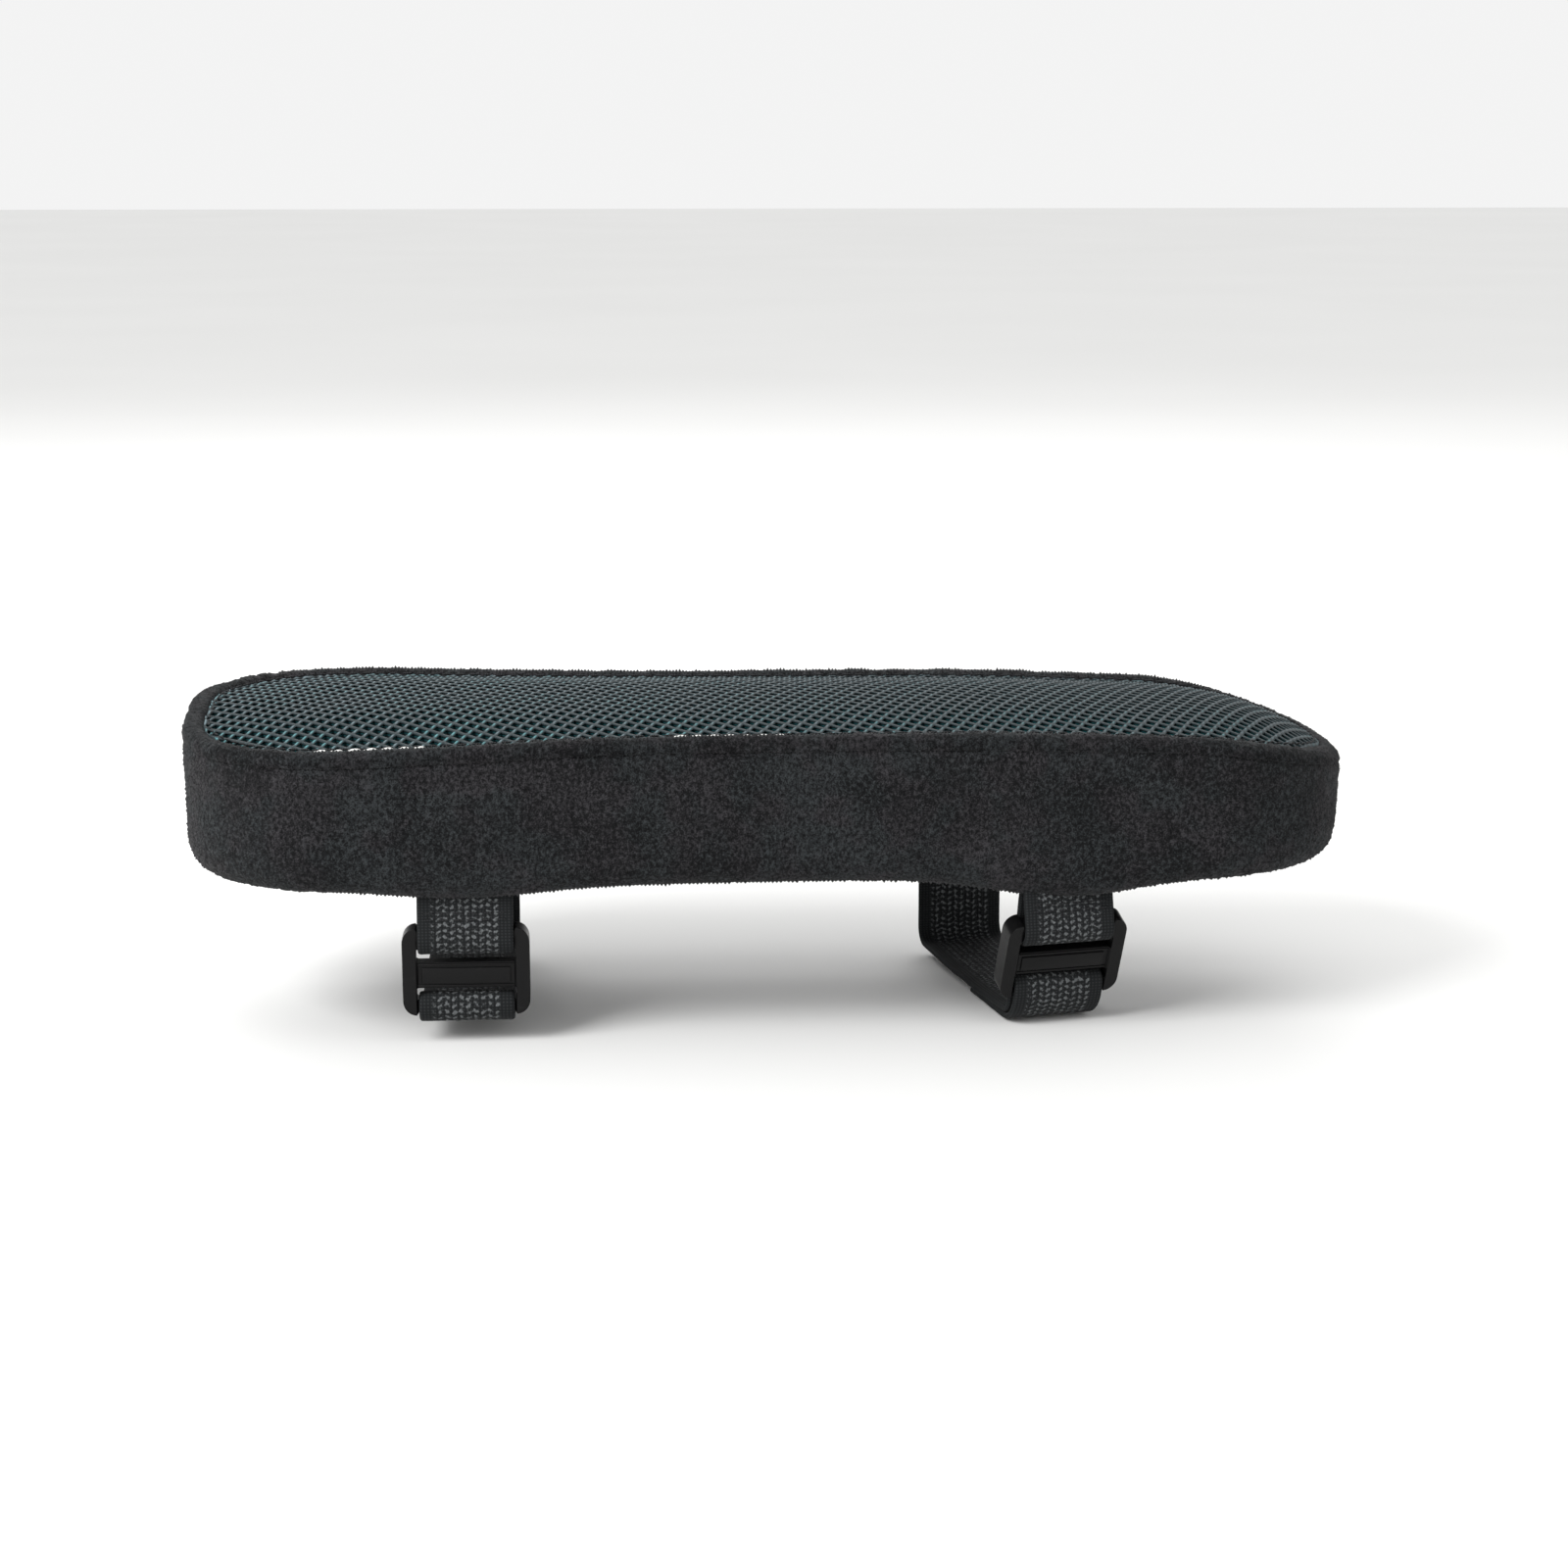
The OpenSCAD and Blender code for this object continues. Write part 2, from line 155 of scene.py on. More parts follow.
class Finish:
    """A material and its nodes."""

    def __init__(self, name, roughness=0.8, **constants):
        self.material = bpy.data.materials.new(name)
        self.material.use_nodes = True
        self.tree = self.material.node_tree
        self.shader = self.tree.nodes["Principled BSDF"]
        self.feed(self.shader.inputs["Roughness"], roughness)
        for socket, value in constants.items():
            self.feed(self.shader.inputs[socket.replace("_", " ").title().replace("Ior", "IOR")], value)

    def feed(self, socket, value):
        if isinstance(value, Value):
            self.tree.links.new(value.socket, socket)
        elif isinstance(value, tuple) and len(value) == 3 and len(socket.default_value) == 4:
            socket.default_value = (*value, 1)
        else:
            socket.default_value = value

    def node(self, kind, settings, sockets, output=0):
        """Adds a node: its settings are set first, then its sockets are fed."""
        made = self.tree.nodes.new(kind)
        for name, value in settings.items():
            if name == "stops":
                ends = made.color_ramp.elements
                for stop, (place, colour) in zip([ends[0], ends[1]], value):
                    stop.position, stop.color = place, (*colour, 1)
            else:
                setattr(made, name, value)
        for name, value in sockets.items():
            self.feed(made.inputs[name], value)
        return Value(self, made.outputs[output])

    def place(self, scale=(1, 1, 1), turn=(0, 0, 0)):
        """Object coordinates, turned and scaled."""
        coordinates = self.node("ShaderNodeTexCoord", {}, {}, "Object")
        return self.node("ShaderNodeMapping", {}, {"Vector": coordinates, "Rotation": turn, "Scale": scale})

    def noise(self, size, detail=2, roughness=0.5, scale=(1, 1, 1), turn=(0, 0, 0)):
        """Noise whose features are about a size across, in metres."""
        return self.node("ShaderNodeTexNoise", {}, {
            "Vector": self.place(scale, turn), "Scale": 1 / size, "Detail": detail, "Roughness": roughness})

    def cells(self, size, feature="F1", scale=(1, 1, 1)):
        return self.node("ShaderNodeTexVoronoi", {"feature": feature},
                         {"Vector": self.place(scale), "Scale": 1 / size})

    def attribute(self, name):
        return self.node("ShaderNodeAttribute", {"attribute_name": name}, {}, "Fac")

    def axis(self, vector, name):
        return self.node("ShaderNodeSeparateXYZ", {}, {"Vector": vector}, name)

    def between(self, value, low, high):
        """0 where a value is low, 1 where it is high, and smooth between."""
        return self.node("ShaderNodeMapRange", {"interpolation_type": "SMOOTHSTEP"}, {
            "Value": value, "From Min": low, "From Max": high})

    def mix(self, factor, first, second, blend="MIX"):
        return self.node("ShaderNodeMix", {"data_type": "RGBA", "blend_type": blend},
                         {0: factor, 6: first, 7: second}, 2)

    def colour(self, value):
        self.feed(self.shader.inputs["Base Color"], value)

    def bump(self, height, depth, strength=1.0):
        """Bumps the surface by a height from 0 to 1, over a depth in metres."""
        normal = self.node("ShaderNodeBump", {}, {
            "Strength": strength, "Distance": depth, "Height": height}, "Normal")
        self.feed(self.shader.inputs["Normal"], normal)


# ---- Materials ----

def plush_finish():
    """Charcoal short-pile plush: speckled tufts, whose nap lies in soft patches."""
    f = Finish("charcoal_plush", 0.95, sheen_weight=0.06, sheen_roughness=0.5, specular_ior_level=0.15)
    fibres = f.noise(0.3 * MM, 2, 0.6)
    tufts = f.noise(0.7 * MM, 2, 0.55, scale=(1, 1, 0.8))
    patches = f.noise(16 * MM, 2, 0.5, scale=(0.8, 1, 1))
    tips = f.between(tufts * 0.5 + fibres * 0.5 + patches * 0.18 - 0.09, 0.4, 0.66)
    warm = f.between(f.noise(9 * MM, 2, 0.5), 0.4, 0.6)
    pile = f.mix(warm, (0.034, 0.038, 0.0405), (0.038, 0.036, 0.0395))
    f.colour(f.mix(tips, (0.0032, 0.0034, 0.0039), pile))
    f.bump(tufts * 0.7 + fibres * 0.3, 0.5 * MM, 0.8)
    return f.material


def net_finish():
    """Slate yarn of the open face, tinted by the coloured net behind it in patches, with painted shade near black
    where its relief is low.
    """
    f = Finish("slate_net", 0.7, sheen_weight=0.05, specular_ior_level=0.3)
    strands = f.noise(0.3 * MM, 2, 0.6)
    beads = f.noise(1.6 * MM, 1, 0.5)
    patches = f.between(f.noise(15 * MM, 2, 0.55), 0.43, 0.6)
    place = f.place()
    nearer = f.between(f.axis(place, "Y"), 5 * MM, -38 * MM)
    # The net's colour is paler towards the front end and darker towards the rear.
    front_ramp = f.between(f.axis(place, "X"), 75 * MM, -110 * MM)
    tone = strands * 0.5 + beads * 0.5
    slate = f.mix(tone, (0.028, 0.041, 0.047), (0.15, 0.195, 0.21))
    tinted = f.mix(tone, (0.012, 0.078, 0.084), (0.09, 0.3, 0.31))
    yarn = f.mix(patches * (nearer * 0.45 + 0.35), slate, tinted)
    front_to_rear_tone = f.mix(front_ramp, (0.66, 0.7, 0.73), (1.4, 1.5, 1.54))
    # Painted shade: the low links and the hole walls of the net are coloured near black.
    raised = f.between(f.attribute("ridge"), 0.05, 0.6)
    f.colour(f.mix(raised, (0.003, 0.014, 0.018), f.mix(1.0, yarn, front_to_rear_tone, "MULTIPLY")))
    f.bump(strands, 0.1 * MM, 0.6)
    return f.material


def backing_finish():
    """Teal net behind the face, with painted shade nearly black down in its cells."""
    f = Finish("teal_net", 0.75, specular_ior_level=0.2)
    strands = f.noise(0.3 * MM, 2, 0.6)
    teal = f.mix(strands, (0.005, 0.045, 0.052), (0.016, 0.13, 0.145))
    # Painted shade: the floors of the cells are coloured nearly black.
    f.colour(f.mix(f.between(f.attribute("ridge"), 0.2, 0.9), (0.0025, 0.009, 0.012), teal))
    f.bump(strands, 0.1 * MM, 0.5)
    return f.material


def knit_finish(name, dark, light):
    """Fine white knit in rows of loops."""
    f = Finish(name, 0.85, sheen_weight=0.1)
    place = f.place()
    rows = (f.axis(place, "X") * (2 * pi / (0.9 * MM))).sine()
    loops = (f.axis(place, "Y") * (2 * pi / (0.7 * MM)) + rows * 0.8).sine()
    knit = loops * 0.25 + rows * 0.25 + 0.5
    f.colour(f.mix(knit, dark, light))
    f.bump(knit, 0.12 * MM, 0.6)
    return f.material


def foam_finish():
    """Cream open-cell foam, with painted shade darker in the middle of each pore."""
    f = Finish("cream_foam", 0.9)
    pores = f.cells(0.8 * MM)
    tone = f.noise(20 * MM, 3)
    # Painted shade: darker towards the middle of each pore.
    f.colour(f.mix(pores * 0.7 + tone * 0.3, (0.5, 0.42, 0.25), (0.86, 0.79, 0.58)))
    f.bump(pores, 0.3 * MM, 0.8)
    return f.material


def webbing_finish():
    """Elastic webbing: plain selvedges, and a zigzag of light picks between them."""
    f = Finish("elastic_webbing", 0.85, sheen_weight=0.02, specular_ior_level=0.13)
    across, along = f.attribute("across"), f.attribute("along")
    middle = f.between(abs(across), 7.3 * MM, 6.6 * MM)
    zigzag = across.triangle(1.5 * MM) * 0.45 + along
    picks = (zigzag * (2 * pi / (1.3 * MM))).sine() * 0.5 + 0.5
    columns = (across * (2 * pi / (1.5 * MM))).sine() * 0.5 + 0.5
    warp = (across * (2 * pi / (0.75 * MM))).sine() * 0.5 + 0.5
    weft = (along * (2 * pi / (0.6 * MM))).sine() * 0.5 + 0.5
    plain = warp * weft
    uneven = f.noise(0.7 * MM, 2, 0.7)
    glints = f.between(picks * 0.36 + columns * 0.3 + uneven * 1.3, 1.0, 1.3)
    figure = plain * 0.14 + middle * glints * 0.86
    shade = f.mix(f.noise(9 * MM), (0.006, 0.0068, 0.0075), (0.011, 0.0122, 0.013))
    f.colour(f.mix(figure, shade, (0.135, 0.143, 0.147)))
    f.bump(plain * 0.4 + middle * picks * warp * 0.6, 0.22 * MM, 0.8)
    return f.material


def plastic_finish():
    """Satin black moulded acetal with faint flow marks and rubbed spots."""
    f = Finish("satin_acetal", 0.4, specular_ior_level=0.17)
    cloud = f.noise(4 * MM, 3)
    grain = f.noise(0.25 * MM, 2)
    rubs = f.between(f.noise(1.6 * MM, 4, 0.7, scale=(0.4, 1, 1)), 0.58, 0.75)
    f.colour(f.mix(rubs * 0.6 + cloud * 0.25, (0.0022, 0.0022, 0.0024), (0.009, 0.009, 0.0092)))
    f.feed(f.shader.inputs["Roughness"], cloud * 0.14 + rubs * 0.12 + 0.29)
    f.bump(grain, 0.03 * MM, 0.5)
    return f.material


def thread_finish():
    """Dark three-ply sewing thread."""
    f = Finish("dark_thread", 0.7, specular_ior_level=0.3)
    plies = (f.axis(f.place(turn=(0, 0, radians(40))), "X") * (2 * pi / (0.4 * MM))).sine() * 0.5 + 0.5
    f.colour(f.mix(plies, (0.004, 0.0045, 0.0055), (0.018, 0.019, 0.021)))
    f.bump(plies, 0.08 * MM)
    return f.material


def tape_finish():
    """Twill tape of the zip."""
    f = Finish("zip_twill", 0.8, sheen_weight=0.15)
    place = f.place()
    ribs = ((f.axis(place, "X") + f.axis(place, "Z") * 1.6) * (2 * pi / (0.6 * MM))).sine() * 0.5 + 0.5
    f.colour(f.mix(ribs * 0.8 + f.noise(3 * MM) * 0.2, (0.01, 0.0105, 0.0115), (0.036, 0.037, 0.04)))
    f.bump(ribs, 0.12 * MM)
    return f.material


def nylon_finish():
    """Glossy black nylon teeth."""
    f = Finish("black_nylon", 0.3)
    cloud = f.noise(1.5 * MM, 3)
    f.colour(f.mix(cloud, (0.012, 0.012, 0.013), (0.035, 0.035, 0.037)))
    f.feed(f.shader.inputs["Roughness"], cloud * 0.25 + 0.2)
    f.bump(f.noise(0.3 * MM), 0.03 * MM, 0.4)
    return f.material


def enamel_finish():
    """Black enamel over die-cast metal, rubbed through in small spots."""
    f = Finish("black_enamel", 0.3)
    worn = f.between(f.noise(0.9 * MM, 5, 0.7), 0.63, 0.7)
    f.colour(f.mix(worn, (0.014, 0.014, 0.015), (0.33, 0.31, 0.28)))
    f.feed(f.shader.inputs["Metallic"], worn * 0.9)
    f.feed(f.shader.inputs["Roughness"], worn * 0.15 + f.noise(2 * MM) * 0.2 + 0.15)
    f.bump(f.noise(0.5 * MM, 3), 0.04 * MM, 0.5)
    return f.material


def aluminium_finish():
    """Crimped bright stops."""
    f = Finish("crimped_aluminium", 0.35, metallic=1.0)
    brushed = f.noise(0.3 * MM, 3, 0.6, scale=(0.2, 1, 1))
    f.colour(f.mix(brushed, (0.45, 0.45, 0.46), (0.72, 0.72, 0.73)))
    f.feed(f.shader.inputs["Roughness"], brushed * 0.3 + 0.2)
    f.bump(brushed, 0.05 * MM, 0.5)
    return f.material


def floor_finish():
    f = Finish("pale_floor", 0.9)
    f.colour(f.mix(f.noise(0.3, 2), (0.83, 0.83, 0.82), (0.87, 0.87, 0.86)))
    return f.material


# ---- Plan of the pad ----

SIDE_LOW, SIDE_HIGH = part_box("side_band")
PAD_L = SIDE_HIGH.x - SIDE_LOW.x
FRONT_W = SIDE_HIGH.y - SIDE_LOW.y
REAR_W = 77 * MM
FRONT_R, REAR_R = 34 * MM, 35 * MM
SIDE_H = 32 * MM
CROWN_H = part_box("mesh_top")[1].z - SIDE_H
SEAM_IN = 4.2 * MM           # inset of the edge of the mesh
FLAT_IN = 30 * MM            # inset where the crown levels out
TURN_IN = 10 * MM            # inset of the seam under the base
PLUSH_T = 1.6 * MM
SLEEVE_T = 0.5 * MM
ROLL_Z = SIDE_H - 2.6 * MM

FRONT_C = Vector((FRONT_R - PAD_L / 2, FRONT_W / 2 - FRONT_R))
REAR_C = Vector((PAD_L / 2 - REAR_R, REAR_W / 2 - REAR_R))
SIDE_A = (REAR_C - FRONT_C).angle_signed(Vector((1, 0))) + math.acos((FRONT_R - REAR_R) / (REAR_C - FRONT_C).length)


def mirrored(point):
    return Vector((point.x, -point.y))


CORNERS = [
    (REAR_C, REAR_R, 0, SIDE_A),
    (FRONT_C, FRONT_R, SIDE_A, pi),
    (mirrored(FRONT_C), FRONT_R, pi, 2 * pi - SIDE_A),
    (mirrored(REAR_C), REAR_R, 2 * pi - SIDE_A, 2 * pi)]


def outline(count):
    """Evenly spaced pairs of a point and its outward normal round the plan."""
    steps = 60
    dense = []
    for centre, radius, start, end in CORNERS:
        for k in range(steps + 1):
            angle = start + (end - start) * k / steps
            normal = Vector((cos(angle), sin(angle)))
            dense.append((centre + radius * normal, normal))
    dense.append(dense[0])
    lengths = [0]
    for (here, _), (there, _) in zip(dense, dense[1:]):
        lengths.append(lengths[-1] + (there - here).length)
    found, k = [], 0
    for i in range(count):
        wanted = lengths[-1] * i / count
        while lengths[k + 1] <= wanted:
            k += 1
        share = (wanted - lengths[k]) / (lengths[k + 1] - lengths[k])
        found.append((dense[k][0].lerp(dense[k + 1][0], share), dense[k][1].lerp(dense[k + 1][1], share)))
    return found


DIRECTIONS = np.array([(cos(a), sin(a)) for a in np.linspace(0, 2 * pi, 240, endpoint=False)])
SUPPORT = np.max([DIRECTIONS @ np.array(centre) + radius for centre, radius, _, _ in CORNERS], axis=0)


def insets(points):
    """How far each point lies inside the plan."""
    return np.min(SUPPORT - points[:, :2] @ DIRECTIONS.T, axis=1)


def crown(inset):
    """Height of the crowned top at an inset."""
    reach = np.clip((inset - SEAM_IN) / (FLAT_IN - SEAM_IN), 0, 1)
    return SIDE_H + CROWN_H * (1 - (1 - reach) ** 2.2)


def ease(t):
    t = np.clip(t, 0, 1)
    return t * t * (3 - 2 * t)


# ---- How the pad has settled ----

ZIP_Z = 14 * MM
STRAP_X = {"front": -64.5 * MM, "rear": 62 * MM}
STRAP_PULL = {"front": 2.1 * MM, "rear": 3.9 * MM}    # how far each tab draws the base edge down
LUMP = 0.5 * MM              # soft unevenness of the stuffed cover


def held_by_zip(points):
    """1 round the zip, which keeps the far side straight, and 0 elsewhere."""
    return ease((points[:, 1] - 30 * MM) / (5 * MM)) * ease(
        2.2 - abs(points[:, 2] - ZIP_Z) / (6 * MM)) * ease((92 * MM - abs(points[:, 0])) / (8 * MM))


def sag(points):
    """Moves points down as the used pad has settled: its top's edge falls towards the
    ends, and each tab draws the edge of the base down."""
    x, y, z = points.T
    height = np.clip((z - 8 * MM) / (SIDE_H - 8 * MM), 0, 1)
    edge = height * (1 - np.clip(insets(points) / FLAT_IN, 0, 1))
    near = ease((10 * MM - y) / (40 * MM))
    front, rear = ease((-20 * MM - x) / (80 * MM)), ease((x - 20 * MM) / (80 * MM))
    down = edge * (23.4 * MM * ease((x - 83 * MM) / (99 * MM)) + 4 * MM * front * near
                   - 1.3 * MM * front - 0.2 * MM * rear * near)
    down += height * 1.7 * MM * ease((x - 37 * MM) / (60 * MM))
    low = 1 - np.clip(z / SIDE_H, 0, 1)
    for end, pull in STRAP_PULL.items():
        down += low * near * pull * np.exp(-((x - STRAP_X[end]) / (20 * MM)) ** 2)
    down -= low * near * 0.5 * MM * np.exp(-((x - 5 * MM) / (45 * MM)) ** 2)
    moved = points.copy()
    moved[:, 2] -= down * (1 - held_by_zip(points))
    return moved


def swell(block):
    """Cloth pressure swells a remeshed copy of the block, held at its seams. Gives where
    the points of that copy lie and how far each one moved."""
    soft = block.copy()
    soft.data = block.data.copy()
    bpy.context.scene.collection.objects.link(soft)
    bpy.context.view_layer.objects.active = soft
    remesh = soft.modifiers.new("remesh", "REMESH")
    remesh.mode, remesh.voxel_size = "VOXEL", 4 * MM
    bpy.ops.object.modifier_apply(modifier="remesh")
    rest = np.array([vert.co for vert in soft.data.vertices])
    inset = insets(rest)
    at_top_seam = ease(1.6 - np.hypot(inset - 2 * MM, rest[:, 2] - SIDE_H + MM) / (4 * MM))
    at_base = ease((5 * MM - rest[:, 2]) / (3 * MM))
    held = np.clip(at_top_seam + at_base + held_by_zip(rest), 0, 1)
    sewn = soft.vertex_groups.new(name="sewn")
    for i, weight in enumerate(held):
        sewn.add([i], float(weight), "REPLACE")
    settings = soft.modifiers.new("cloth", "CLOTH").settings
    settings.vertex_group_mass = "sewn"
    settings.use_pressure = True
    settings.uniform_pressure_force = 4
    settings.effector_weights.gravity = 0
    settings.quality = 6
    settings.bending_stiffness = 2
    scene = bpy.context.scene
    for step in range(1, 21):
        scene.frame_set(step)
    swollen = soft.evaluated_get(bpy.context.evaluated_depsgraph_get()).to_mesh()
    moves = np.array([vert.co for vert in swollen.vertices]) - rest
    bpy.data.objects.remove(soft)
    scene.frame_set(1)
    lengths = np.linalg.norm(moves, axis=1, keepdims=True)
    most = 1.6 * MM
    moves *= most * np.tanh(lengths / most) / np.maximum(lengths, 1e-9)
    moves *= 1 - held[:, None]
    return rest, moves


SWELL = {}


def swollen(points):
    """Moves points as the nearest simulated ones moved."""
    if not SWELL:
        return points
    moved = points.copy()
    for i, point in enumerate(points):
        found = SWELL["tree"].find_n(point, 6)
        weights = np.array([1 / (distance + 0.5 * MM) ** 2 for _, _, distance in found])
        moved[i] += weights @ SWELL["moves"][[index for _, index, _ in found]] / weights.sum()
    return moved


def lumps(points):
    """Soft unevenness of the plush, none at the zip and on the flat base."""
    heights = np.array([fractal(Vector(p) / (21 * MM), 1, 2, 2) for p in points])
    free = (1 - held_by_zip(points)) * ease(points[:, 2] / (6 * MM))
    centre = np.c_[np.clip(points[:, 0], -85 * MM, 85 * MM), np.zeros(len(points)), points[:, 2]]
    outward = points - centre
    outward /= np.maximum(np.linalg.norm(outward, axis=1, keepdims=True), 1e-6)
    return points + outward * (heights * free * LUMP)[:, None]


def settle(mesh):
    """Settles every vertex of a soft piece of the pad."""
    points = np.array([vert.co for vert in mesh.verts])
    points = lumps(swollen(sag(points)))
    for vert, point in zip(mesh.verts, points):
        vert.co = point


# ---- Making pieces ----

def finish_mesh(mesh, name, material, smooth=True, recalculate=True):
    """Turns a bmesh into an object at the origin."""
    if recalculate:
        bmesh.ops.recalc_face_normals(mesh, faces=mesh.faces)
    for face in mesh.faces:
        face.smooth = smooth
    data = bpy.data.meshes.new(name)
    mesh.to_mesh(data)
    mesh.free()
    piece = bpy.data.objects.new(name, data)
    bpy.context.scene.collection.objects.link(piece)
    data.materials.append(material)
    return piece


def show(piece, body, slot, *nodes):
    """Parents a finished piece to the body it rides on and hides the CAD nodes it stands for."""
    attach(piece, body)
    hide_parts(*nodes)


def thicken(piece, thickness, offset=-1.0):
    solid = piece.modifiers.new("thickness", "SOLIDIFY")
    solid.thickness, solid.offset = thickness, offset


def subdivide(piece, levels=1):
    fine = piece.modifiers.new("fine", "SUBSURF")
    fine.levels = fine.render_levels = levels


def round_edges(piece, width, segments=3, angle=40):
    soft = piece.modifiers.new("round", "BEVEL")
    soft.width, soft.segments, soft.limit_method, soft.angle_limit = width, segments, "ANGLE", radians(angle)
    soft.harden_normals = True


def extruded_ring(mesh, edges):
    """Extrudes a closed ring of edges. Gives the new vertices and edges."""
    made = bmesh.ops.extrude_edge_only(mesh, edges=edges)["geom"]
    verts = [item for item in made if isinstance(item, bmesh.types.BMVert)]
    fresh = set(verts)
    return verts, [edge for edge in made if isinstance(edge, bmesh.types.BMEdge) and fresh.issuperset(edge.verts)]


def ring_loft(profile, count, closed=False):
    """A ring of the plan, extruded from one [inset, height] pair to the next. A closed
    profile joins its last ring to its first."""
    mesh = bmesh.new()
    column = mesh.verts.layers.int.new("column")
    verts = bmesh.ops.create_circle(mesh, segments=count, radius=PAD_L)["verts"]
    for i, vert in enumerate(verts):
        vert[column] = i
    first = edges = mesh.edges[:]
    plan = outline(count)
    for k, (inset, z) in enumerate(profile):
        if k:
            verts, edges = extruded_ring(mesh, edges)
        for vert in verts:
            point, normal = plan[vert[column]]
            vert.co = (*(point - normal * inset), z)
    if closed:
        bmesh.ops.bridge_loops(mesh, edges=first + edges)
    return mesh, first, edges


def capped(mesh, *rings):
    for ring in rings:
        bmesh.ops.contextual_create(mesh, geom=ring)
    return mesh


def crown_rings(depth, start):
    """[inset, height] pairs in over the top, a depth below its surface."""
    steps = 9
    pairs = []
    for k in range(steps + 1):
        inset = start + (FLAT_IN - start) * k / steps
        pairs.append((inset, float(crown(inset)) - depth))
    return pairs


def block_profile(grow):
    """The foam block's profile, grown on every side, from the underside to the top."""
    bottom = 2.2 * MM - grow
    return [(FLAT_IN, bottom), (20 * MM, bottom), (9.5 * MM, bottom), (5.5 * MM - grow / 2, bottom + MM),
            (3.2 * MM - grow, bottom + 3.2 * MM), (2.35 * MM - grow, 9 * MM), (2.35 * MM - grow, 17 * MM),
            (2.35 * MM - grow, 25 * MM), (3.2 * MM - grow, SIDE_H - 4 * MM)] + crown_rings(2.85 * MM - grow, 5 * MM)


def block(grow, count=200):
    mesh, low, high = ring_loft(block_profile(grow), count)
    return capped(mesh, low, high)


def add_foam(material):
    mesh = block(0)
    settle(mesh)
    show(finish_mesh(mesh, "foam_block", material), "pad", "foam", "foam_core")


def add_sleeve(material):
    mesh = block(SLEEVE_T)
    settle(mesh)
    sleeve = finish_mesh(mesh, "white_sleeve", material)
    thicken(sleeve, SLEEVE_T * 0.9)
    show(sleeve, "pad", "sleeve", "inner_sleeve")


NAP_H = 0.5 * MM


def raise_nap(mesh, faces):
    """Turns each face into a leaning tuft of pile."""
    tips = bmesh.ops.poke(mesh, faces=faces, center_mode="MEAN")["verts"]
    for tip in tips:
        tip.normal_update()
        place = tip.co / (1.1 * MM)
        height = 0.55 + 0.9 * fractal(place, 1, 2, 2)
        lean = noise_vector(place * 0.7) * 0.35
        tip.co += (tip.normal * height + lean) * NAP_H


def add_side_band(material):
    """The plush side, from the seam under the base up to the rolled edge, with the zip's
    window cut in its far side."""
    wall = [z * MM for z in (7.5, 9, 10.7, 12.4, 14, 15.6, 17.3, 19, 20.7, 22.4, 24.1, 25.8, 27.3, 28.6, 29.5)]
    tuck = {27.3: 0.05, 28.6: 0.2, 29.5: 0.55}
    profile = [(TURN_IN + 0.02 * MM, 0.15 * MM), (8.8 * MM, -0.12 * MM), (7 * MM, 0.02 * MM), (5 * MM, 0.3 * MM),
               (3.4 * MM, 0.9 * MM), (2.2 * MM, 1.8 * MM), (1.2 * MM, 3 * MM), (0.6 * MM, 4.2 * MM),
               (0.2 * MM, 5.8 * MM)] + [(tuck.get(round(z / MM, 2), 0) * MM, z) for z in wall]
    mesh, _, _ = ring_loft(profile, 360)
    window = [face for face in mesh.faces if face.calc_center_median().y > 30 * MM
              and abs(face.calc_center_median().x) < 79 * MM and abs(face.calc_center_median().z - ZIP_Z) < 5 * MM]
    bmesh.ops.delete(mesh, geom=window, context="FACES")
    settle(mesh)
    bmesh.ops.subdivide_edges(mesh, edges=mesh.edges, cuts=1, use_grid_fill=True, smooth=0.6)
    outward_faces(mesh)
    outside = mesh.faces[:]
    bmesh.ops.solidify(mesh, geom=mesh.faces[:], thickness=PLUSH_T)
    raise_nap(mesh, outside)
    band = finish_mesh(mesh, "plush_side_band", material)
    show(band, "pad", "plush", "side_band")


def outward_faces(mesh):
    """Turns an open skin's faces outwards."""
    bmesh.ops.recalc_face_normals(mesh, faces=mesh.faces)
    centre = Vector((0, 0, SIDE_H / 2))
    facing = sum((face.calc_center_median() - centre).dot(face.normal) * face.calc_area() for face in mesh.faces)
    if facing < 0:
        bmesh.ops.reverse_faces(mesh, faces=mesh.faces)


def add_base_panel(material):
    mesh, edge, inner = ring_loft([(TURN_IN + 0.25 * MM, 0.35 * MM), (TURN_IN + MM, -0.05 * MM), (12.5 * MM, 0),
                                   (18 * MM, 0), (FLAT_IN, 0)], 240)
    capped(mesh, inner)
    settle(mesh)
    for face in mesh.faces:
        face.normal_update()
    panel = finish_mesh(mesh, "plush_base_panel", material)
    thicken(panel, PLUSH_T)
    show(panel, "pad", "plush", "base_panel")


def add_edge_roll(material):
    """The plush rolled over the top edge, closed behind."""
    profile = [(0.5, 29.35), (0.12, 29.6), (0.0, 30.1), (0.0, 30.7), (0.12, 31.3), (0.4, 31.85), (0.85, 32.25),
               (1.4, 32.5), (2.0, 32.55), (2.7, 32.45), (3.3, 32.2), (3.8, 31.75), (4.1, 31.1), (3.9, 30.5),
               (2.8, 29.8), (1.6, 29.4)]
    mesh, _, _ = ring_loft([(inset * MM, z * MM) for inset, z in profile], 400, closed=True)
    settle(mesh)
    pucker(mesh)
    bmesh.ops.subdivide_edges(mesh, edges=mesh.edges, cuts=1, use_grid_fill=True, smooth=0.6)
    bmesh.ops.recalc_face_normals(mesh, faces=mesh.faces)
    raise_nap(mesh, mesh.faces[:])
    show(finish_mesh(mesh, "plush_edge_roll", material), "pad", "plush", "edge_roll")


def pucker(mesh):
    """Moves the roll up and down a little, in a soft wave along its seam."""
    for vert in mesh.verts:
        wave = fractal(Vector((vert.co.x, vert.co.y, 0)) / (5 * MM), 1, 2, 2)
        vert.co.z += wave * 0.22 * MM


# ---- The open net ----

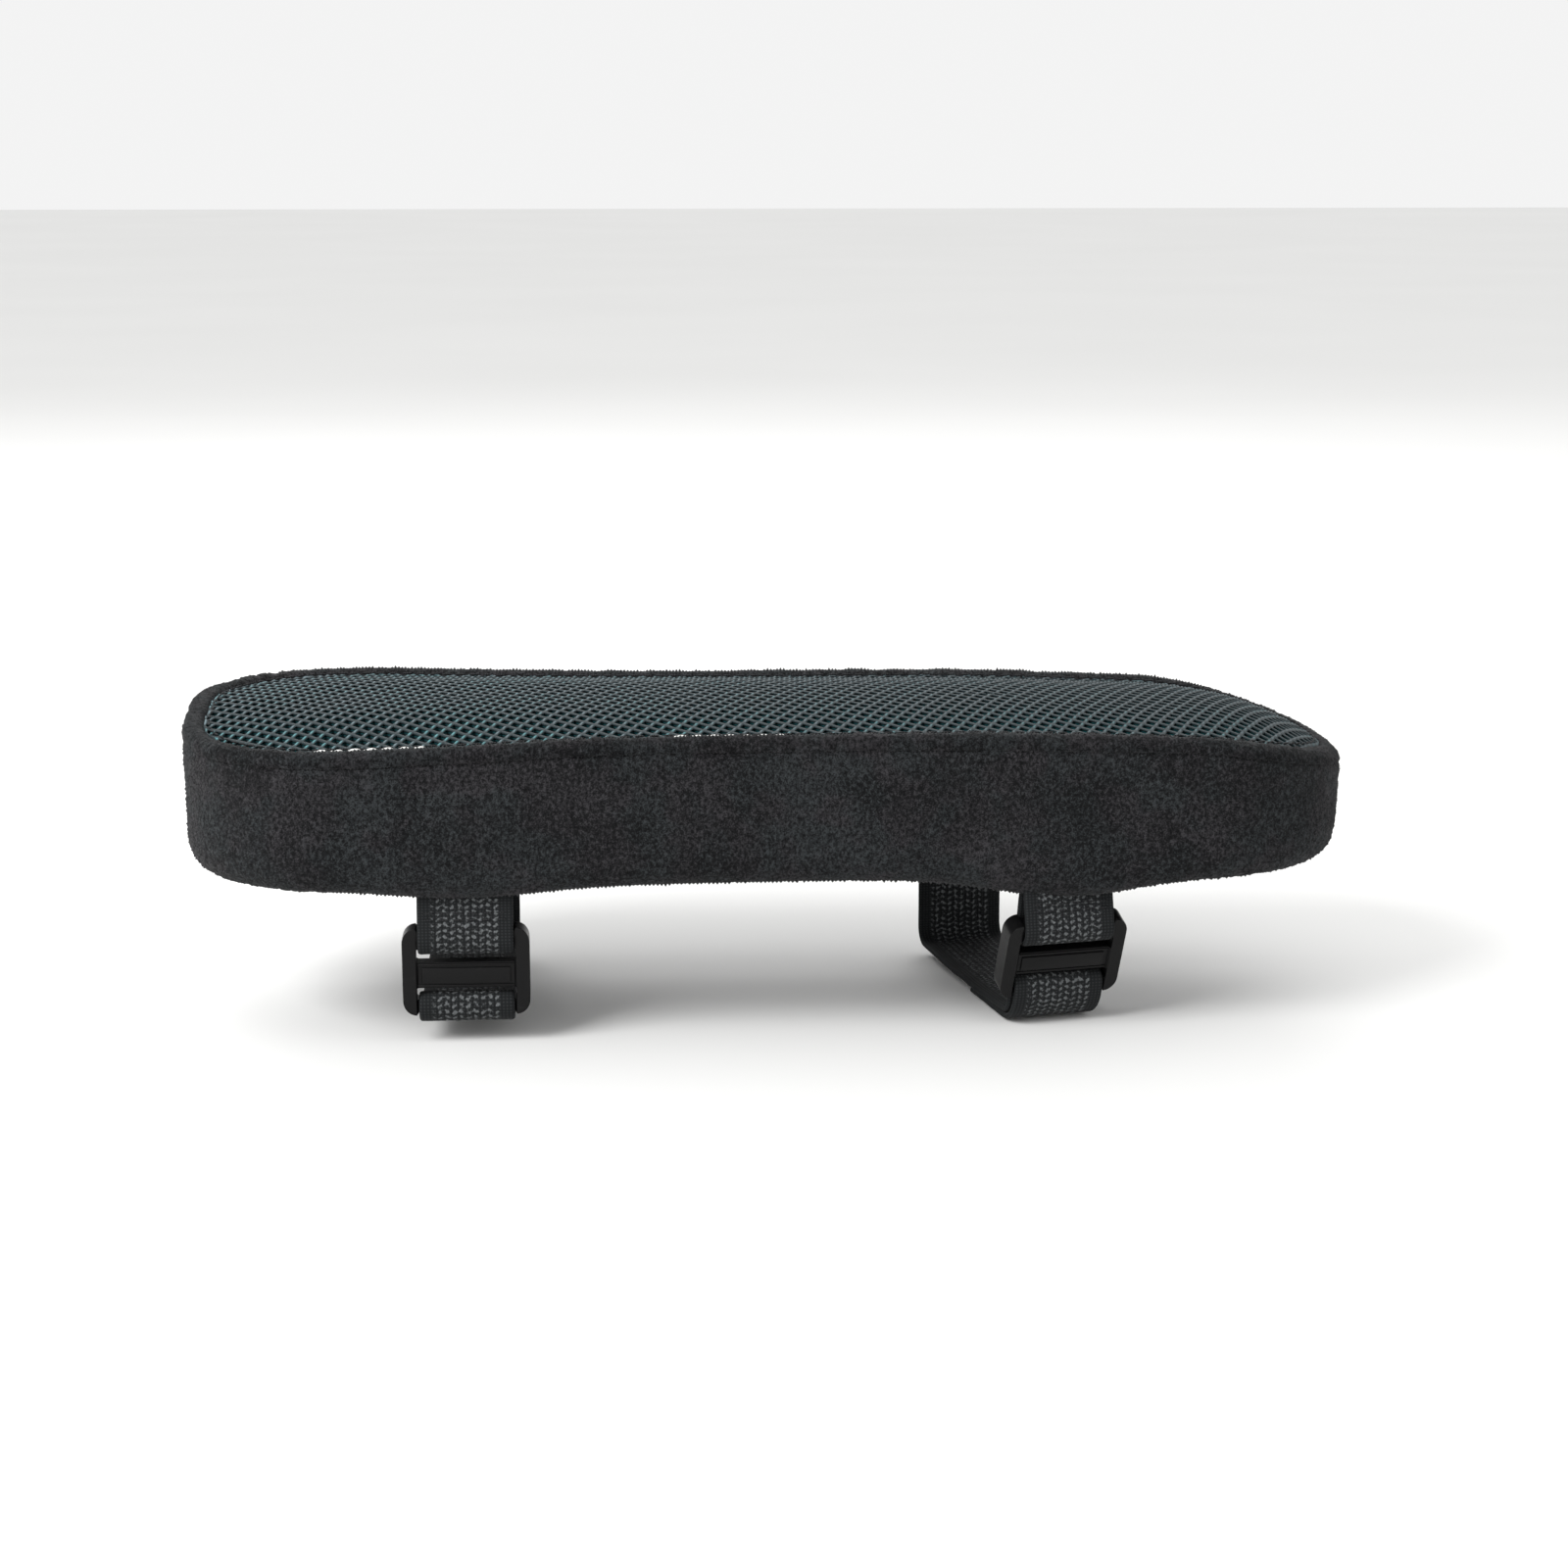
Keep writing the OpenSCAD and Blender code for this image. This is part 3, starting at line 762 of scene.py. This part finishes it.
LINK, RIB = Vector((2.19, -1.94)) * MM, Vector((1.30, 2.71)) * MM    # steps from hole to hole
NET_EDGE = 4.15 * MM
NET_T = 0.3 * MM
RIB_H = 0.5 * MM            # how far a rib stands above the links between ribs


def net_sheet():
    """A sheet of the net's cells cut to the plan, each cell a face."""
    cells = 150
    mesh = bmesh.new()
    bmesh.ops.create_grid(mesh, x_segments=cells, y_segments=cells, size=cells / 2)
    for vert in mesh.verts:
        vert.co.xy = LINK * vert.co.x + RIB * vert.co.y
    points = np.array([vert.co for vert in mesh.verts])
    inside = dict(zip(mesh.verts, insets(points)))
    bmesh.ops.delete(mesh, geom=[vert for vert in mesh.verts if inside[vert] < -4 * MM], context="VERTS")
    outside = [face for face in mesh.faces if max(inside[vert] for vert in face.verts) < NET_EDGE + 0.4 * MM]
    bmesh.ops.delete(mesh, geom=outside, context="FACES")
    for vert in mesh.verts:
        short = NET_EDGE - inside[vert]
        if short > 0:
            ahead = DIRECTIONS[np.argmin(SUPPORT - DIRECTIONS @ np.array(vert.co.xy))]
            vert.co.xy -= Vector(ahead) * short
    bmesh.ops.dissolve_degenerate(mesh, dist=0.05 * MM, edges=mesh.edges)
    return mesh


def open_cells(mesh, rib):
    """Splits the ribs and links in the middle and insets each whole cell by the width of
    a rib. Gives the inner faces, and the middles of the links and of the ribs."""
    full = abs(LINK.cross(RIB))
    inner = {face for face in mesh.faces if face.calc_area() > 0.35 * full}
    sides = [edge for edge in mesh.edges if inner.intersection(edge.link_faces)]
    split = bmesh.ops.subdivide_edges(mesh, edges=sides, cuts=1)["geom_inner"]
    middles = [item for item in split if isinstance(item, bmesh.types.BMVert)]
    across = []
    for vert in middles:
        here = [edge.other_vert(vert).co.xy for edge in vert.link_edges if edge.calc_length() > MM]
        if len(here) > 1 and abs((here[0] - here[1]).normalized().dot(LINK.normalized())) > 0.9:
            across.append(vert)
    whole = [face for face in mesh.faces if len(face.verts) > 6]
    bmesh.ops.inset_individual(mesh, faces=whole, thickness=rib, use_even_offset=True)
    return whole, across, list(set(middles) - set(across))


def lay_on_top(mesh, depth):
    """Lays a flat mesh on the crowned top, keeping its own relief."""
    points = np.array([vert.co for vert in mesh.verts])
    heights = crown(insets(points))
    for vert, height in zip(mesh.verts, heights):
        vert.co.z += height - depth
    settle(mesh)


def mark_ridges(mesh, low, high):
    """Keeps how high each vertex stands in the relief, for the painted shade that darkens the colour where the relief
    is low.
    """
    ridge = mesh.verts.layers.float.new("ridge")
    for vert in mesh.verts:
        vert[ridge] = (vert.co.z - low) / (high - low)


def add_net(material):
    mesh = net_sheet()
    ridges = set(mesh.verts)
    holes, links, ribs = open_cells(mesh, 0.46 * MM)
    ridges.update(ribs)
    bmesh.ops.delete(mesh, geom=holes, context="FACES_ONLY")
    for vert in mesh.verts:
        vert.co.z = 0 if vert in ridges else -RIB_H
    for vert in links:
        vert.co.z = -RIB_H
    for vert in ribs:
        vert.co.z = -RIB_H * 0.3
    mark_ridges(mesh, -RIB_H, 0)
    lay_on_top(mesh, 0)
    net = finish_mesh(mesh, "open_net_top", material, recalculate=False)
    thicken(net, NET_T)
    show(net, "pad", "mesh", "mesh_top")


def add_backing(teal):
    mesh = net_sheet()
    floors, _, _ = open_cells(mesh, 0.6 * MM)
    depth = 0.75 * MM
    for face in floors:
        for vert in face.verts:
            vert.co.z = -depth
    mark_ridges(mesh, -depth, 0)
    lay_on_top(mesh, RIB_H + NET_T)
    backing = finish_mesh(mesh, "teal_net_backing", teal, recalculate=False)
    thicken(backing, 0.5 * MM)
    show(backing, "pad", "backing_net", "mesh_backing")


# Painted highlights: short rows of white beads along the net's near seam.
SEAM_GLINT_PITCH = 3.4 * MM
SEAM_GLINTS = ((-93 * MM, 7), (-19 * MM, 7))    # first painted glint along the pad, and how many


def add_seam_glints(material):
    """Short rows of white knit beads along the net's near seam: painted highlights standing in for glints there."""
    mesh = bmesh.new()
    for first, count in SEAM_GLINTS:
        for k in range(count):
            for along, inset, length, radius in ((0, 0.55, 2.1, 0.34), (-1.2, 0.05, 0.9, 0.26)):
                spot = Vector((first + k * SEAM_GLINT_PITCH + along * MM, 0, 0))
                y = -np.interp(spot.x, (FRONT_C.x, REAR_C.x), (FRONT_C.y + FRONT_R, REAR_C.y + REAR_R))
                point = np.array([(spot.x, y + NET_EDGE + inset * MM, SIDE_H + 0.1 * MM)])
                swing = fractal(Vector((spot.x / MM, first, length)), 1, 2, 1)
                add_stitch(mesh, Vector(lumps(swollen(sag(point)))[0]), (1, 0, 0),
                           (length + 0.8 * swing) * MM, radius * (1 + 0.4 * swing) * MM)
    piece = finish_mesh(mesh, "painted_seam_glints", material)
    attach(piece, "pad")


# ---- Stitching ----

def add_stitch(mesh, middle, along, length, radius):
    """One stitch: a stretched bead of thread."""
    turn = Vector(along).to_track_quat("X", "Z").to_matrix().to_4x4()
    size = Matrix.Diagonal((length / 2, radius, radius, 1))
    bmesh.ops.create_uvsphere(mesh, u_segments=8, v_segments=6, radius=1,
                              matrix=Matrix.Translation(middle) @ turn @ size)


def add_ring_stitches(name, node, inset, z, material, pitch=3 * MM):
    """A row of stitches round the plan."""
    mesh = bmesh.new()
    plan = outline(round(590 * MM / pitch))
    points = np.array([(*(point - normal * inset), z) for point, normal in plan])
    points = lumps(swollen(sag(points)))
    for (_, normal), point in zip(plan, points):
        add_stitch(mesh, Vector(point), (-normal.y, normal.x, 0), pitch * 0.74, 0.24 * MM)
    show(finish_mesh(mesh, name, material), "pad", "thread", node)


# ---- Straps ----

WEB_W, WEB_T = 20 * MM, 1.2 * MM
BAR_GAP = 14.6 * MM
TOP_BAR_R, BAR_R = 2.2 * MM, 1.5 * MM
RUN_GAP = 0.08 * MM
MID_R = BAR_R + RUN_GAP + WEB_T / 2
LOOP_R = TOP_BAR_R + RUN_GAP + WEB_T / 2
RETURN_L = 26 * MM
LEAN = {"front": radians(2), "rear": radians(22)}
SLACK = {"front": 0, "rear": 5 * MM}


class Strap:
    """Where one strap lies: local X across the webbing, Y under the arm, Z up."""

    def __init__(self, end):
        joint = JOINTS[f"{end}_buckle_swing"]
        self.end = end
        self.turn = math.atan2(-joint["axis"][1], -joint["axis"][0])
        pin = Vector(joint["pos_m"])
        self.depth = -pin.z
        self.frame = Matrix.Translation((pin.x, pin.y, 0)) @ Matrix.Rotation(self.turn, 4, "Z")
        lean = LEAN[end]
        self.buckle_frame = self.frame @ Matrix.Translation((0, 0, -self.depth)) @ Matrix.Rotation(lean, 4, "X")
        self.bar = Vector((BAR_GAP * sin(lean), -self.depth - BAR_GAP * cos(lean)))
        low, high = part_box(f"{end}_anchor_stitch")
        seam = self.frame.inverted() @ ((low + high) / 2)
        self.span = seam.y - WEB_T / 2
        self.run_drop = MID_R - 0.35 * MM + SLACK[end]
        self.return_drop = self.run_drop + WEB_T + 0.3 * MM


def arc(centre, radius, start, end, steps):
    return [Vector(centre) + radius * Vector((cos(radians(start + (end - start) * k / steps)),
                                              sin(radians(start + (end - start) * k / steps))))
            for k in range(steps + 1)]


def resampled(path, step):
    """The path with a point every step."""
    lengths = [0]
    for here, there in zip(path, path[1:]):
        lengths.append(lengths[-1] + (there - here).length)
    count = round(lengths[-1] / step)
    wanted = np.linspace(0, lengths[-1], count + 1)
    ys = np.interp(wanted, lengths, [p.x for p in path])
    zs = np.interp(wanted, lengths, [p.y for p in path])
    return [Vector(pair) for pair in zip(ys, zs)], wanted


def webbing(name, path, frame_matrix, material, width=WEB_W, end_lift=0.0):
    """A length of webbing along a path in a strap's Y-Z plane, with rounded edges."""
    mesh = bmesh.new()
    across_layer = mesh.verts.layers.float.new("across")
    along_layer = mesh.verts.layers.float.new("along")
    slot_layer = mesh.verts.layers.int.new("slot")
    points, lengths = resampled(path, 0.55 * MM)
    columns = 16
    flat = [(width / 2 - WEB_T / 2) * (2 * k / columns - 1) for k in range(columns + 1)]
    round_end = [(WEB_T / 2 * cos(radians(a)), WEB_T / 2 * sin(radians(a))) for a in (60, 30, 0, -30, -60)]
    section = ([(x, WEB_T / 2) for x in flat] + [(flat[-1] + x, z) for x, z in round_end]
               + [(x, -WEB_T / 2) for x in reversed(flat)] + [(flat[0] - x, z) for x, z in reversed(round_end)])
    verts = bmesh.ops.create_circle(mesh, segments=len(section), radius=width)["verts"]
    for i, vert in enumerate(verts):
        vert[slot_layer] = i
    first = edges = mesh.edges[:]
    for k, point in enumerate(points):
        if k:
            verts, edges = extruded_ring(mesh, edges)
        ahead = points[min(k + 1, len(points) - 1)] - points[max(k - 1, 0)]
        normal = Vector((-ahead.y, ahead.x)).normalized()
        for vert in verts:
            x, offset = section[vert[slot_layer]]
            wave = 0.12 * MM * fractal(Vector((x / (6 * MM), lengths[k] / (7 * MM), len(name))), 1, 2, 2)
            local = point + normal * (offset + wave)
            vert.co = frame_matrix @ Vector((x, local.x, local.y))
            vert[across_layer], vert[along_layer] = x, lengths[k]
    capped(mesh, first, edges)
    return finish_mesh(mesh, name, material)


def add_strap(strap, material):
    """The strap: from the far seam, under the arm, up behind the bottom bar, over it, and
    back under itself, where it is sewn down."""
    bar, drop, back = strap.bar, strap.run_drop, strap.return_drop
    far_bend = 4 * MM
    near_bend = 1.1 * MM + 0.4 * SLACK[strap.end]
    sagging = [Vector((bar.x + MID_R + near_bend + (strap.span - far_bend - bar.x - MID_R - near_bend) * (1 - k / 12),
                       bar.y - drop - 0.5 * MM * sin(pi * k / 12))) for k in range(1, 12)]
    path = ([Vector((strap.span, 0.3 * MM))]
            + arc((strap.span - far_bend, bar.y - drop + far_bend), far_bend, 0, -90, 10) + sagging
            + arc((bar.x + MID_R + near_bend, bar.y - drop + near_bend), near_bend, 270, 180, 8)
            + arc(bar, MID_R, 0, 180, 18)
            + arc((bar.x + back - MID_R, bar.y), back, 180, 270, 16)
            + [Vector((bar.x + back - MID_R + 3 * MM, bar.y - back)), Vector((bar.x + RETURN_L, bar.y - back))])
    piece = webbing(f"{strap.end}_elastic_strap", path, strap.frame, material)
    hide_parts(*(f"{strap.end}_{node}" for node in ("strap", "fold", "strap_end")))
    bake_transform(piece)


def add_tab(strap, material):
    """The short loop of webbing sewn into the base seam and hung round the top bar."""
    top, depth = 0.4 * MM, strap.depth
    side = WEB_T / 2 + 0.1 * MM
    tangent = math.asin((LOOP_R - side) / (depth + top))
    lean = math.degrees(tangent)
    path = ([Vector((-side, top))] + arc((0, -depth), LOOP_R, 180 - lean, 360 + lean, 30) + [Vector((side, top))])
    piece = webbing(f"{strap.end}_webbing_tab", path, strap.frame, material)
    show(piece, "pad", "webbing", f"{strap.end}_tab")


def add_stitch_rows(strap, name, node, places, material, rows_across=6):
    """Rows of stitches across the webbing at local [y, z] places."""
    mesh = bmesh.new()
    along = strap.frame.to_3x3() @ Vector((1, 0, 0))
    for y, z in places:
        for k in range(rows_across):
            x = (k - (rows_across - 1) / 2) * 3 * MM
            add_stitch(mesh, strap.frame @ Vector((x, y, z)), along, 2.3 * MM, 0.2 * MM)
    show(finish_mesh(mesh, name, material), "pad", "thread", node)


def add_strap_stitches(strap, material):
    end, bar = strap.end, strap.bar
    slope = (LOOP_R - WEB_T / 2) / strap.depth
    face = WEB_T + 0.1 * MM
    tab_rows = [(-face - 0.08 * MM - slope * row, -row) for row in (4.6 * MM, 6 * MM)]
    under = bar.y - strap.return_drop - WEB_T / 2
    end_rows = [(bar.x + y, under) for y in (10 * MM, RETURN_L - 3 * MM)]
    anchor_rows = [(strap.span + WEB_T / 2, -row) for row in (1.6 * MM, 3.4 * MM)]
    add_stitch_rows(strap, f"{end}_tab_stitching", f"{end}_tab_stitch", tab_rows, material)
    add_stitch_rows(strap, f"{end}_end_stitching", f"{end}_end_stitch", end_rows, material)
    add_stitch_rows(strap, f"{end}_anchor_stitching", f"{end}_anchor_stitch", anchor_rows, material)


# ---- Buckles ----

BUCKLE_W, SLOT_L, RAIL_T, MID_T = 26.6 * MM, 21 * MM, 4.6 * MM, 3.2 * MM
MID_DROP, MID_H = 7.8 * MM, 5.6 * MM
RAIL_OVER = 0.3 * MM


def rounded_box(mesh, size, centre, radius, segments=3):
    """Adds a box with rounded edges."""
    verts = bmesh.ops.create_cube(mesh, size=1, matrix=Matrix.Translation(centre) @ Matrix.Diagonal((*size, 1)))["verts"]
    edges = list({edge for vert in verts for edge in vert.link_edges})
    bmesh.ops.bevel(mesh, geom=edges, affect="EDGES", offset=radius, segments=segments, profile=0.5, material=-1)


def buckle_cage():
    """The buckle's frame with its bars: a plate of cells with the two slots left out."""
    columns = [-BUCKLE_W / 2, -SLOT_L / 2, -SLOT_L / 2 + 0.5 * MM, SLOT_L / 2 - 0.5 * MM, SLOT_L / 2, BUCKLE_W / 2]
    rows = [TOP_BAR_R + RAIL_OVER, TOP_BAR_R - 4.4 * MM, -MID_DROP + MID_H / 2, -MID_DROP - MID_H / 2,
            -BAR_GAP + BAR_R, -BAR_GAP - BAR_R - RAIL_OVER]
    half = {0: TOP_BAR_R, 1: TOP_BAR_R, 2: MID_T / 2, 3: MID_T / 2, 4: BAR_R, 5: BAR_R}
    mesh = bmesh.new()
    bmesh.ops.create_grid(mesh, x_segments=5, y_segments=5, size=0.5)
    cells = {vert: (round((vert.co.x + 0.5) * 5), round((0.5 - vert.co.y) * 5)) for vert in mesh.verts}
    slots = []
    for face in mesh.faces:
        low_row = min(cells[vert][1] for vert in face.verts)
        low_column = min(cells[vert][0] for vert in face.verts)
        if low_row in (1, 3) and 1 <= low_column <= 3:
            slots.append(face)
    for vert, (column, row) in cells.items():
        deep = half[row] if column in (2, 3) else RAIL_T / 2
        vert.co = (columns[column], -deep, rows[row])
        if row in (0, 5) and column in (2, 3):
            vert.co.z = TOP_BAR_R if row == 0 else -BAR_GAP - BAR_R
    bmesh.ops.delete(mesh, geom=slots, context="FACES")
    bmesh.ops.delete(mesh, geom=[edge for edge in mesh.edges if not edge.link_faces], context="EDGES")
    made = bmesh.ops.extrude_face_region(mesh, geom=mesh.faces[:])["geom"]
    for item in made:
        if isinstance(item, bmesh.types.BMVert):
            item.co.y = -item.co.y
    return mesh


def add_buckle(strap, material):
    mesh = buckle_cage()
    bmesh.ops.recalc_face_normals(mesh, faces=mesh.faces)
    outer = [edge for edge in mesh.edges if all(abs(abs(vert.co.x) - BUCKLE_W / 2) < 1e-6 for vert in edge.verts)
             and abs(edge.verts[0].co.z - edge.verts[1].co.z) < 1e-6
             and (edge.verts[0].co.z > TOP_BAR_R or edge.verts[0].co.z < -BAR_GAP - BAR_R)]
    bmesh.ops.bevel(mesh, geom=outer, affect="EDGES", offset=3.2 * MM, segments=7, profile=0.5, material=-1)
    bars = [edge for edge in mesh.edges if abs(edge.verts[0].co.x + edge.verts[1].co.x) < 1e-6
            and edge.calc_length() > SLOT_L / 2 and not -MID_DROP - MID_H < edge.verts[0].co.z < -MID_DROP + MID_H * 0.6]
    bmesh.ops.bevel(mesh, geom=bars, affect="EDGES", offset=0.95 * MM, segments=4, profile=0.5, material=-1)
    face_y = -MID_T / 2
    mesh.transform(strap.buckle_frame)
    piece = finish_mesh(mesh, f"{strap.end}_slide_buckle", material)
    round_edges(piece, 0.42 * MM)
    show(piece, f"{strap.end}_buckle", "buckle", f"{strap.end}_buckle")
    panel = bmesh.new()
    rounded_box(panel, (SLOT_L - 2.4 * MM, 0.7 * MM, 3.5 * MM), (0, face_y, -MID_DROP - 0.1 * MM), 0.2 * MM)
    for z in (MID_H / 2 - 0.5 * MM, -MID_H / 2 + 0.5 * MM):
        rounded_box(panel, (SLOT_L - 0.6 * MM, 0.5 * MM, 0.45 * MM), (0, face_y, -MID_DROP + z), 0.15 * MM, 2)
    panel.transform(strap.buckle_frame)
    raised = finish_mesh(panel, f"{strap.end}_buckle_panel", material)
    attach(raised, f"{strap.end}_buckle")


# ---- Zip ----

TAPE_FACE = -0.9 * MM
TOOTH_T, TOOTH_W, TOOTH_PITCH = 1.3 * MM, 0.8 * MM, 2 * MM
ZIP_L = 150 * MM
PLATE_Y = TAPE_FACE + TOOTH_T + 0.3 * MM
PIN_Y = PLATE_Y + 2.5 * MM
SLIDER_L = 9 * MM


def zip_frame():
    """Local X along the zip, Y outwards, Z up, with the origin at the zip's middle."""
    axis = JOINTS["zip_slide"]["axis"]
    turn = Matrix.Rotation(math.atan2(-axis[1], -axis[0]), 4, "Z")
    low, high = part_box("zip_stops")
    middle = (low + high) / 2
    middle.z = 0
    pin = turn.inverted() @ Vector(JOINTS["zip_pull_swing"]["pos_m"])
    here = turn.inverted() @ middle
    place = Vector((here.x, pin.y - PIN_Y, ZIP_Z))
    return turn @ Matrix.Translation(place), pin.x - here.x


def add_teeth(frame_matrix, side, material):
    """Moulded teeth along one tape, on a cord."""
    mesh = bmesh.new()
    start = -ZIP_L / 2 + 0.2 * MM + (TOOTH_PITCH / 2 if side < 0 else 0)
    for k in range(int(ZIP_L / TOOTH_PITCH)):
        x = start + k * TOOTH_PITCH + TOOTH_W / 2
        rounded_box(mesh, (TOOTH_W, TOOTH_T, 2.1 * MM),
                    (x, TAPE_FACE + TOOTH_T / 2 + 0.03 * MM, side * 0.55 * MM), 0.24 * MM, 2)
    cord = Matrix.Translation((0, TAPE_FACE + 0.55 * MM, side * 1.45 * MM)) @ Matrix.Rotation(pi / 2, 4, "Y")
    bmesh.ops.create_cone(mesh, cap_ends=True, segments=12, radius1=0.5 * MM, radius2=0.5 * MM, depth=ZIP_L, matrix=cord)
    mesh.transform(frame_matrix)
    word = "upper" if side > 0 else "lower"
    piece = finish_mesh(mesh, f"{word}_zip_teeth", material)
    show(piece, "pad", "zip_teeth", f"zip_teeth_{word}")


def add_slider(frame_matrix, rest, material):
    """Slider over the teeth: a shield-shaped plate with a lip down each side, two lugs and the pin."""
    mesh = bmesh.new()
    made = bmesh.ops.create_cube(mesh, size=1, matrix=Matrix.Translation((rest, PLATE_Y + 0.5 * MM, 0))
                                 @ Matrix.Diagonal((SLIDER_L, MM, 8 * MM, 1)))["verts"]
    for vert in made:
        if vert.co.x < rest:
            vert.co.z *= 0.72
    upright = [edge for edge in mesh.edges if abs(edge.verts[0].co.y - edge.verts[1].co.y) > 0.5 * MM]
    bmesh.ops.bevel(mesh, geom=upright, affect="EDGES", offset=1.6 * MM, segments=5, profile=0.5, material=-1)
    rims = [edge for edge in mesh.edges if abs(edge.verts[0].co.y - edge.verts[1].co.y) < 0.1 * MM]
    bmesh.ops.bevel(mesh, geom=rims, affect="EDGES", offset=0.25 * MM, segments=3, profile=0.5, material=-1)
    lip_low, lip_high = TAPE_FACE + 0.3 * MM, PLATE_Y + 0.4 * MM
    for side in (-1, 1):
        rounded_box(mesh, (SLIDER_L * 0.8, lip_high - lip_low, 1.3 * MM),
                    (rest + 0.5 * MM, (lip_low + lip_high) / 2, side * 3.0 * MM), 0.35 * MM)
        rounded_box(mesh, (2.6 * MM, PIN_Y - PLATE_Y + 0.4 * MM, 1.2 * MM),
                    (rest, (PIN_Y + PLATE_Y) / 2 + 0.7 * MM, side * 2.4 * MM), 0.45 * MM)
    bmesh.ops.create_cone(mesh, cap_ends=True, segments=20, radius1=0.6 * MM, radius2=0.6 * MM, depth=4.4 * MM,
                          matrix=Matrix.Translation((rest, PIN_Y, 0)))
    mesh.transform(frame_matrix)
    show(finish_mesh(mesh, "zip_slider_body", material), "slider", "zip_metal", "zip_slider")


def add_pull(frame_matrix, rest, material):
    """The slider's pull: a barrel on the pin, a neck and a tapered tab with a slot."""
    mesh = bmesh.new()
    xs = [-19, -17.6, -12.5, -6.5, -3.5, 0.4]
    half_widths = [2.3, 2.75, 2.6, 2.0, 1.5, 1.5]
    bmesh.ops.create_grid(mesh, x_segments=5, y_segments=3, size=0.5)
    for vert in mesh.verts:
        column, row = round((vert.co.x + 0.5) * 5), round((vert.co.y + 0.5) * 3)
        share = (-1, -0.5, 0.5, 1)[row] if column in (3, 4) else (-1, -0.4, 0.4, 1)[row]
        vert.co = (xs[column] * MM, -0.5 * MM, share * half_widths[column] * MM)
    slot = [face for face in mesh.faces if -6.5 * MM < face.calc_center_median().x < -3.5 * MM
            and abs(face.calc_center_median().z) < 0.2 * MM]
    bmesh.ops.delete(mesh, geom=slot, context="FACES_ONLY")
    made = bmesh.ops.extrude_face_region(mesh, geom=mesh.faces[:])["geom"]
    bmesh.ops.translate(mesh, verts=[item for item in made if isinstance(item, bmesh.types.BMVert)], vec=(0, MM, 0))
    corners = [edge for edge in mesh.edges if abs(edge.verts[0].co.y - edge.verts[1].co.y) > 0.5 * MM
               and edge.verts[0].co.x < -18.9 * MM and abs(edge.verts[0].co.z) > 2 * MM]
    bmesh.ops.recalc_face_normals(mesh, faces=mesh.faces)
    bmesh.ops.bevel(mesh, geom=corners, affect="EDGES", offset=1.2 * MM, segments=5, profile=0.5, material=-1)
    rounded_box(mesh, (7 * MM, 1.3 * MM, 2.2 * MM), (-13.5 * MM, 0, 0), 0.3 * MM)
    bmesh.ops.create_cone(mesh, cap_ends=True, segments=24, radius1=1.3 * MM, radius2=1.3 * MM, depth=3 * MM)
    mesh.transform(frame_matrix @ Matrix.Translation((rest, PIN_Y, 0)))
    piece = finish_mesh(mesh, "zip_pull_tab", material)
    round_edges(piece, 0.22 * MM)
    show(piece, "pull", "zip_metal", "zip_pull")


def repaint(node, material):
    """Gives a CAD node that stays its material."""
    slots = frame["nodes"][node].data.materials
    slots.clear()
    slots.append(material)


# ---- Everything ----

def add_floor():
    mesh = bmesh.new()
    bmesh.ops.create_grid(mesh, x_segments=1, y_segments=1, size=6, matrix=Matrix.Translation((0, 0, FLOOR_Z)))
    finish_mesh(mesh, "floor", floor_finish(), smooth=False, recalculate=False)


add_camera()
add_world()
add_area_light("key", (-0.8, -0.6, 0.8), (0.6, 0.6), 13)
add_area_light("back", (-0.1, 0.9, 0.8), (1.2, 0.5), 5)
add_floor()

trial = finish_mesh(block(2.3 * MM, 120), "trial_block", None)
SWELL_REST, SWELL["moves"] = swell(trial)
SWELL["tree"] = KDTree(len(SWELL_REST))
for number, where in enumerate(SWELL_REST):
    SWELL["tree"].insert(where, number)
SWELL["tree"].balance()
bpy.data.objects.remove(trial)

plush, thread, web, plastic = plush_finish(), thread_finish(), webbing_finish(), plastic_finish()
knit = knit_finish("white_knit", (0.6, 0.6, 0.58), (0.9, 0.9, 0.88))
nylon, enamel = nylon_finish(), enamel_finish()

add_foam(foam_finish())
add_sleeve(knit)
add_side_band(plush)
add_base_panel(plush)
add_edge_roll(plush)
add_net(net_finish())
add_backing(backing_finish())
add_seam_glints(knit)
add_ring_stitches("top_seam_stitches", "top_seam_thread", SEAM_IN + 1.1 * MM, float(crown(SEAM_IN + 1.1 * MM)) + 0.1 * MM,
                  thread)
add_ring_stitches("base_seam_stitches", "base_seam_thread", TURN_IN - 0.9 * MM, -0.22 * MM, thread)

for end_name in ("front", "rear"):
    strap_here = Strap(end_name)
    add_tab(strap_here, web)
    add_strap(strap_here, web)
    add_strap_stitches(strap_here, thread)
    add_buckle(strap_here, plastic)

zip_matrix, slider_x = zip_frame()
add_teeth(zip_matrix, 1, nylon)
add_teeth(zip_matrix, -1, nylon)
add_slider(zip_matrix, slider_x, enamel)
add_pull(zip_matrix, slider_x, enamel)
repaint("zip_tapes", tape_finish())
repaint("zip_stops", aluminium_finish())
